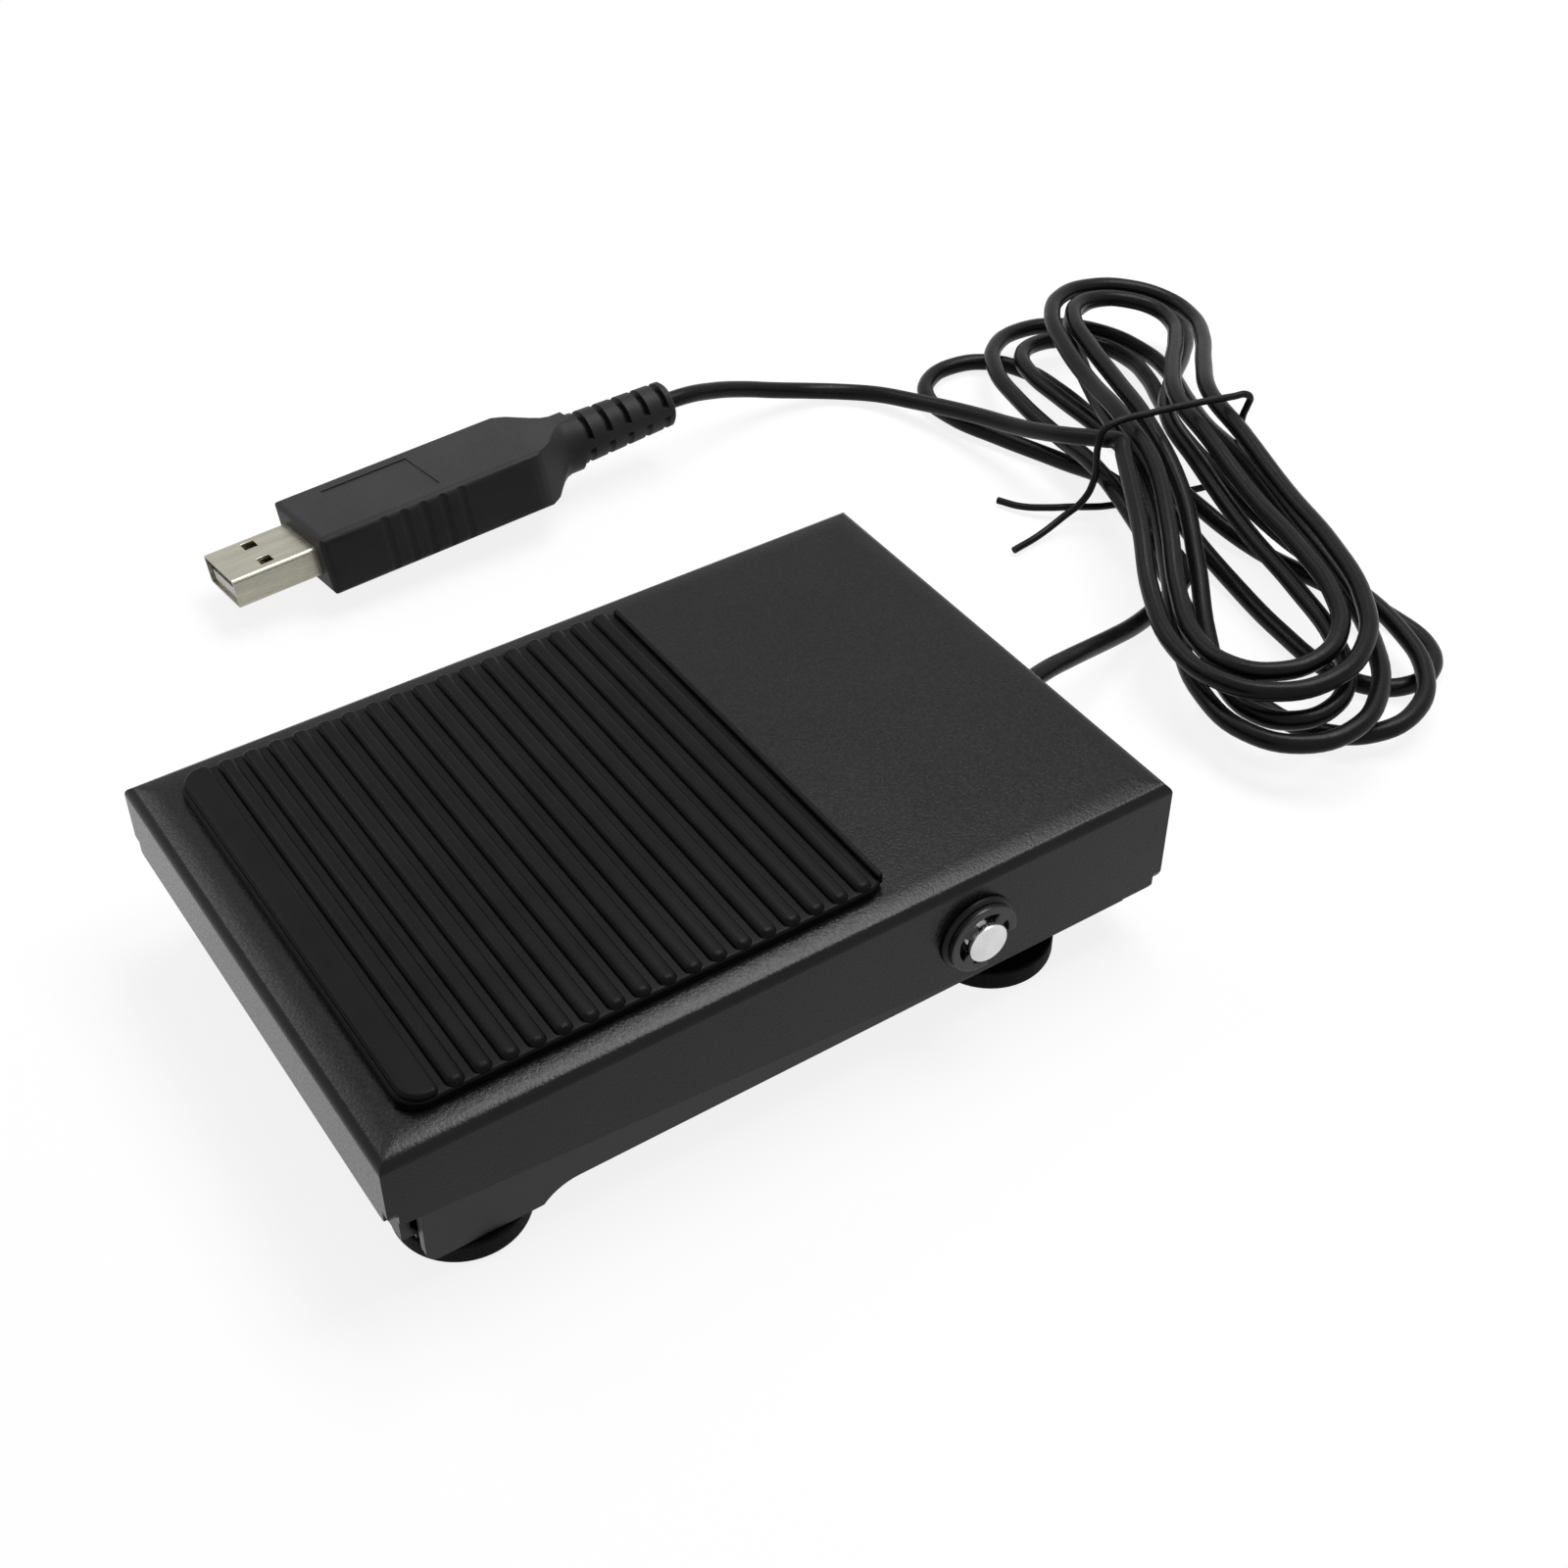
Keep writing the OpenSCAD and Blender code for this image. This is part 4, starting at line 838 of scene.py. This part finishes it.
# Core wires
# The two insulated cores, red and white, run from the end of the jacket along the tray's floor and up to
# their solder joints on the switch board.
core_d = 1 * mm
core_apart = 0.6
solder_gap = 0.02 * mm
board_high = Vector(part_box("switch_board")[1])
solder_z = board_high.z + core_d / 2 + solder_gap
low_z = tray_floor + core_d
for side, colour, tints in (
    (-1, "red", ((0.36, 0.02, 0.014), (0.46, 0.03, 0.02))),
    (1, "white", ((0.68, 0.67, 0.62), (0.78, 0.77, 0.73))),
):
    core_pvc = grained(
        "core PVC " + colour, *tints, rough=(0.35, 0.5), grain=0.4 * mm, drift=4 * mm, depth=0.004 * mm
    )
    start = jacket_end + Vector((side * core_d * core_apart, 0, 0))
    core_route = [start, start - Vector((0, core_d, 0))]
    for across, y, z in (
        (1.1, jacket_end.y - 7 * mm, low_z),
        (1.8, jacket_end.y - 14 * mm, low_z),
        (2.4, board_high.y + 8 * mm, low_z + 0.4 * mm),
        (2.8, board_high.y + 3 * mm, low_z + 1.9 * mm),
        (2.9, board_high.y + 0.6 * mm, solder_z + 0.4 * mm),
        (3, board_high.y - 2 * mm, solder_z),
        (3, board_high.y - 4.5 * mm, solder_z),
    ):
        core_route.append(Vector((side * across * mm, y, z)))
    stand_for(wire("core_" + colour, core_route, core_d), core_pvc, "core_wire_" + colour)

# Wire tie
# A thin soft-iron wire in a black PVC coat, wound once round the hank's waist and twisted, with its two
# tails left loose on the floor.
tie_d = 1.1 * mm
tie_route = [hank_place(*point) for point in (
    (5, -27, 0.8), (3, -22, 1), (1.6, -17.5, 2.4), (1.2, -14, 4.6), (1, -12.6, 7.5), (1, -12.5, 14),
    (0.9, -11.9, 16.1), (0.8, -10.3, 17), (0.5, -4, 17.3), (0.3, 4, 17.3), (0.1, 10.3, 17), (0, 12.2, 16.9),
    (-0.1, 13.2, 16), (-0.2, 13, 14.6), (-0.2, 12.5, 13), (-0.4, 12.5, 4.4), (-0.5, 11.9, 2.1),
    (-0.55, 10.8, 1.1), (-0.6, 9, 0.72), (-0.8, 0, 0.62), (-1, -9, 0.72), (-1.1, -12, 1.2),
    (-1.2, -14.4, 1.7), (-2.4, -18, 1.6), (-5, -21.5, 0.95), (-8, -24, 0.7),
)]
tie_pvc = grained(
    "tie PVC", dark=grey(0.003), light=grey(0.005), rough=(0.36, 0.52),
    grain=0.4 * mm, drift=5 * mm, depth=0.006 * mm, specular=0.12,
)
tie = wire("tie", tie_route, tie_d)
stand_for(tie, tie_pvc, "wire_tie")

# Plug body
# A large dark grey moulded body with flutes on its sides for the fingers and a shallow panel on top. It is
# moulded round the encoder board, and a softer slotted sleeve at its tail bends with the cable.
plug_plastic = grained(
    "plug plastic", dark=grey(0.013), light=grey(0.018), rough=(0.42, 0.58),
    grain=0.22 * mm, drift=9 * mm, depth=0.008 * mm, specular=0.12,
)
relief_pvc = grained(
    "sleeve PVC", dark=grey(0.011), light=grey(0.016), rough=(0.42, 0.58),
    grain=0.25 * mm, drift=7 * mm, depth=0.006 * mm, specular=0.14,
)
chip_black = grained(
    "chip black", dark=grey(0.014), light=grey(0.02), rough=(0.5, 0.66),
    grain=0.2 * mm, drift=2 * mm, depth=0.004 * mm,
)
plug_roll = math.radians(-12)
plug_front = 13 * mm
plug_mouth_w = 13.4 * mm
plug_mouth_h = 6 * mm
plug_w = 19 * mm
plug_h = 9.2 * mm
plug_corner_r = 1.2 * mm
plug_rim_r = 0.9 * mm
plug_rim_rows = (0.09, 0.27, 0.54, 0.9, 1.08)
out_of_plug = (
    Matrix.Translation(plug_at) @ Matrix.Rotation(plug_pitch, 4, "X") @ Matrix.Rotation(plug_roll, 4, "Y")
)
into_plug = out_of_plug.inverted()


def quarter_round(reach, radius):
    """How far a quarter round has dropped at a distance out towards its end."""
    held = min(radius, max(0, reach))
    return radius - math.sqrt(radius * radius - held * held)


def soften_front(piece):
    """Rounds the body's front corners, seen from above, and the upper and lower rims of its front."""
    along = (plug_point(1) - plug_point(0)).normalized()
    bpy.ops.object.mode_set(mode="EDIT")
    for row in plug_rim_rows:
        bpy.ops.mesh.select_all(action="SELECT")
        bpy.ops.mesh.bisect(plane_co=plug_point(plug_front / mm + row), plane_no=along, threshold=weld)
    bpy.ops.object.mode_set(mode="OBJECT")
    for corner in piece.data.vertices:
        place = into_plug @ corner.co
        back = place.y - plug_front
        outside = abs(place.x) > plug_mouth_w / 2 or abs(place.z) > plug_mouth_h / 2
        if outside and back < plug_corner_r + hair:
            past = abs(place.x) - plug_w / 2 + plug_corner_r
            if abs(back - past) < hair:
                back = quarter_round(past, plug_corner_r)
            top = plug_h / 2 - quarter_round(plug_rim_r - back, plug_rim_r)
            place.y = plug_front + back
            place.z = min(top, max(-top, place.z))
            corner.co = out_of_plug @ place


body = rounded("plug_overmould", "plug_body", plug_plastic, shaped=soften_front)
sleeve = rounded("plug_strain_relief", "plug_sleeve", relief_pvc)
dress("plug_board", board_mask)
dress("encoder_chip", chip_black)

# Plug shell and contacts
# A shell of thin nickel-plated steel with two latch holes in its top, and in it a white tongue with four
# gold-flashed contacts.
nickel = grained(
    "nickel plate", dark=(0.33, 0.32, 0.26), light=(0.42, 0.405, 0.335), rough=(0.24, 0.4),
    grain=0.3 * mm, drift=6 * mm, depth=0.002 * mm, metallic=1.0, stretch=(3, 0.25, 3),
)
tongue_plastic = grained(
    "tongue plastic", dark=(0.66, 0.66, 0.62), light=(0.74, 0.74, 0.71), rough=(0.4, 0.55),
    grain=0.2 * mm, drift=4 * mm, depth=0.003 * mm,
)
contact_gold = grained(
    "gold flash", dark=(0.68, 0.48, 0.16), light=(0.8, 0.6, 0.24), rough=(0.16, 0.3),
    grain=0.25 * mm, drift=2 * mm, depth=0.002 * mm, metallic=1.0, stretch=(3, 0.3, 3),
)
shell_edge = 0.08 * mm
shell = rounded("usb_shell", "plug_shell", nickel, shell_edge)
dress("usb_tongue", tongue_plastic)
dress("usb_contacts", contact_gold)

# Floor, light and camera
# A wide pale floor that takes the pedal's shadow and fades to white, and soft white light from all round.
# A wide lamp above and behind the pedal lights the near bend of the cover, and a small one at its left the
# front margin.
floor_w = 8
floor_drop = 0.1 * mm
look_down = 0.72927
look_round = 0.9851
scene = bpy.context.scene
scene.view_settings.view_transform = "Standard"


def seen_white(tree):
    """A mask of the rays that see the background: the camera's own, and those mirrored or let through."""
    rays = add(tree, "ShaderNodeLightPath")
    first = add(tree, "ShaderNodeMath", operation="MAXIMUM")
    second = add(tree, "ShaderNodeMath", operation="MAXIMUM")
    tree.links.new(rays.outputs["Is Camera Ray"], first.inputs[0])
    tree.links.new(rays.outputs["Is Glossy Ray"], first.inputs[1])
    tree.links.new(first.outputs["Value"], second.inputs[0])
    tree.links.new(rays.outputs["Is Transmission Ray"], second.inputs[1])
    return second.outputs["Value"]


bpy.ops.object.select_all(action="DESELECT")
bpy.ops.mesh.primitive_plane_add(size=floor_w, location=(0, 0, -floor_drop))
floor = bpy.context.active_object
floor.name = "floor"
pale = bpy.data.materials.new("pale floor")
pale.use_nodes = True
tree = pale.node_tree
matte = tree.nodes["Principled BSDF"]
matte.inputs["Base Color"].default_value = (0.94, 0.94, 0.94, 1)
matte.inputs["Roughness"].default_value = 0.9
matte.inputs["Specular IOR Level"].default_value = 0.0
glow = add(tree, "ShaderNodeEmission", {"Strength": 1.0})
place = add(tree, "ShaderNodeTexCoord")
away = add(tree, "ShaderNodeVectorMath", {0: place.outputs["Object"]}, operation="LENGTH")
fade = add(tree, "ShaderNodeMapRange", {
    "Value": away.outputs["Value"],
    "From Min": 0.2,
    "From Max": 0.45,
    "To Min": 0.86,
    "To Max": 1.0,
}, interpolation_type="SMOOTHSTEP", label="Fade to white")
share = add(tree, "ShaderNodeMath", {0: seen_white(tree), 1: fade.outputs["Result"]}, operation="MULTIPLY")
blend = add(tree, "ShaderNodeMixShader", {"Fac": share.outputs["Value"]})
tree.links.new(matte.outputs["BSDF"], blend.inputs[1])
tree.links.new(glow.outputs["Emission"], blend.inputs[2])
tree.links.new(blend.outputs["Shader"], tree.nodes["Material Output"].inputs["Surface"])
floor.data.materials.append(pale)

room = bpy.data.worlds.new("room")
scene.world = room
room.use_nodes = True
tree = room.node_tree
level = add(tree, "ShaderNodeMapRange", {"Value": seen_white(tree), "To Min": 0.12, "To Max": 1.0})
sky = tree.nodes["Background"]
sky.inputs["Color"].default_value = (1, 1, 1, 1)
tree.links.new(level.outputs["Result"], sky.inputs["Strength"])


def lamp(name, place, wide, deep, power):
    """A soft oblong lamp aimed at the pedal."""
    light = bpy.data.lights.new(name, "AREA")
    light.shape = "RECTANGLE"
    light.size = wide
    light.size_y = deep
    light.energy = power
    piece = bpy.data.objects.new(name, light)
    piece.location = place
    piece.rotation_euler = (-Vector(place)).to_track_quat("-Z", "Y").to_euler()
    piece.visible_camera = False
    bpy.context.collection.objects.link(piece)


lamp("lamp_rear", (-0.1, 0.37, 0.94), wide=0.8, deep=0.44, power=11.0)
lamp("lamp_side", (-0.68, -0.18, 0.72), wide=0.36, deep=0.3, power=1.3)

view = bpy.data.cameras.new("camera")
view.lens = 51.68
view.sensor_width = 36
view.clip_start = 0.01
camera = bpy.data.objects.new("camera", view)
camera.location = (0.17286, -0.09556, 0.19996)
camera.rotation_euler = (math.pi / 2 - look_down, 0, look_round)
bpy.context.collection.objects.link(camera)
scene.camera = camera
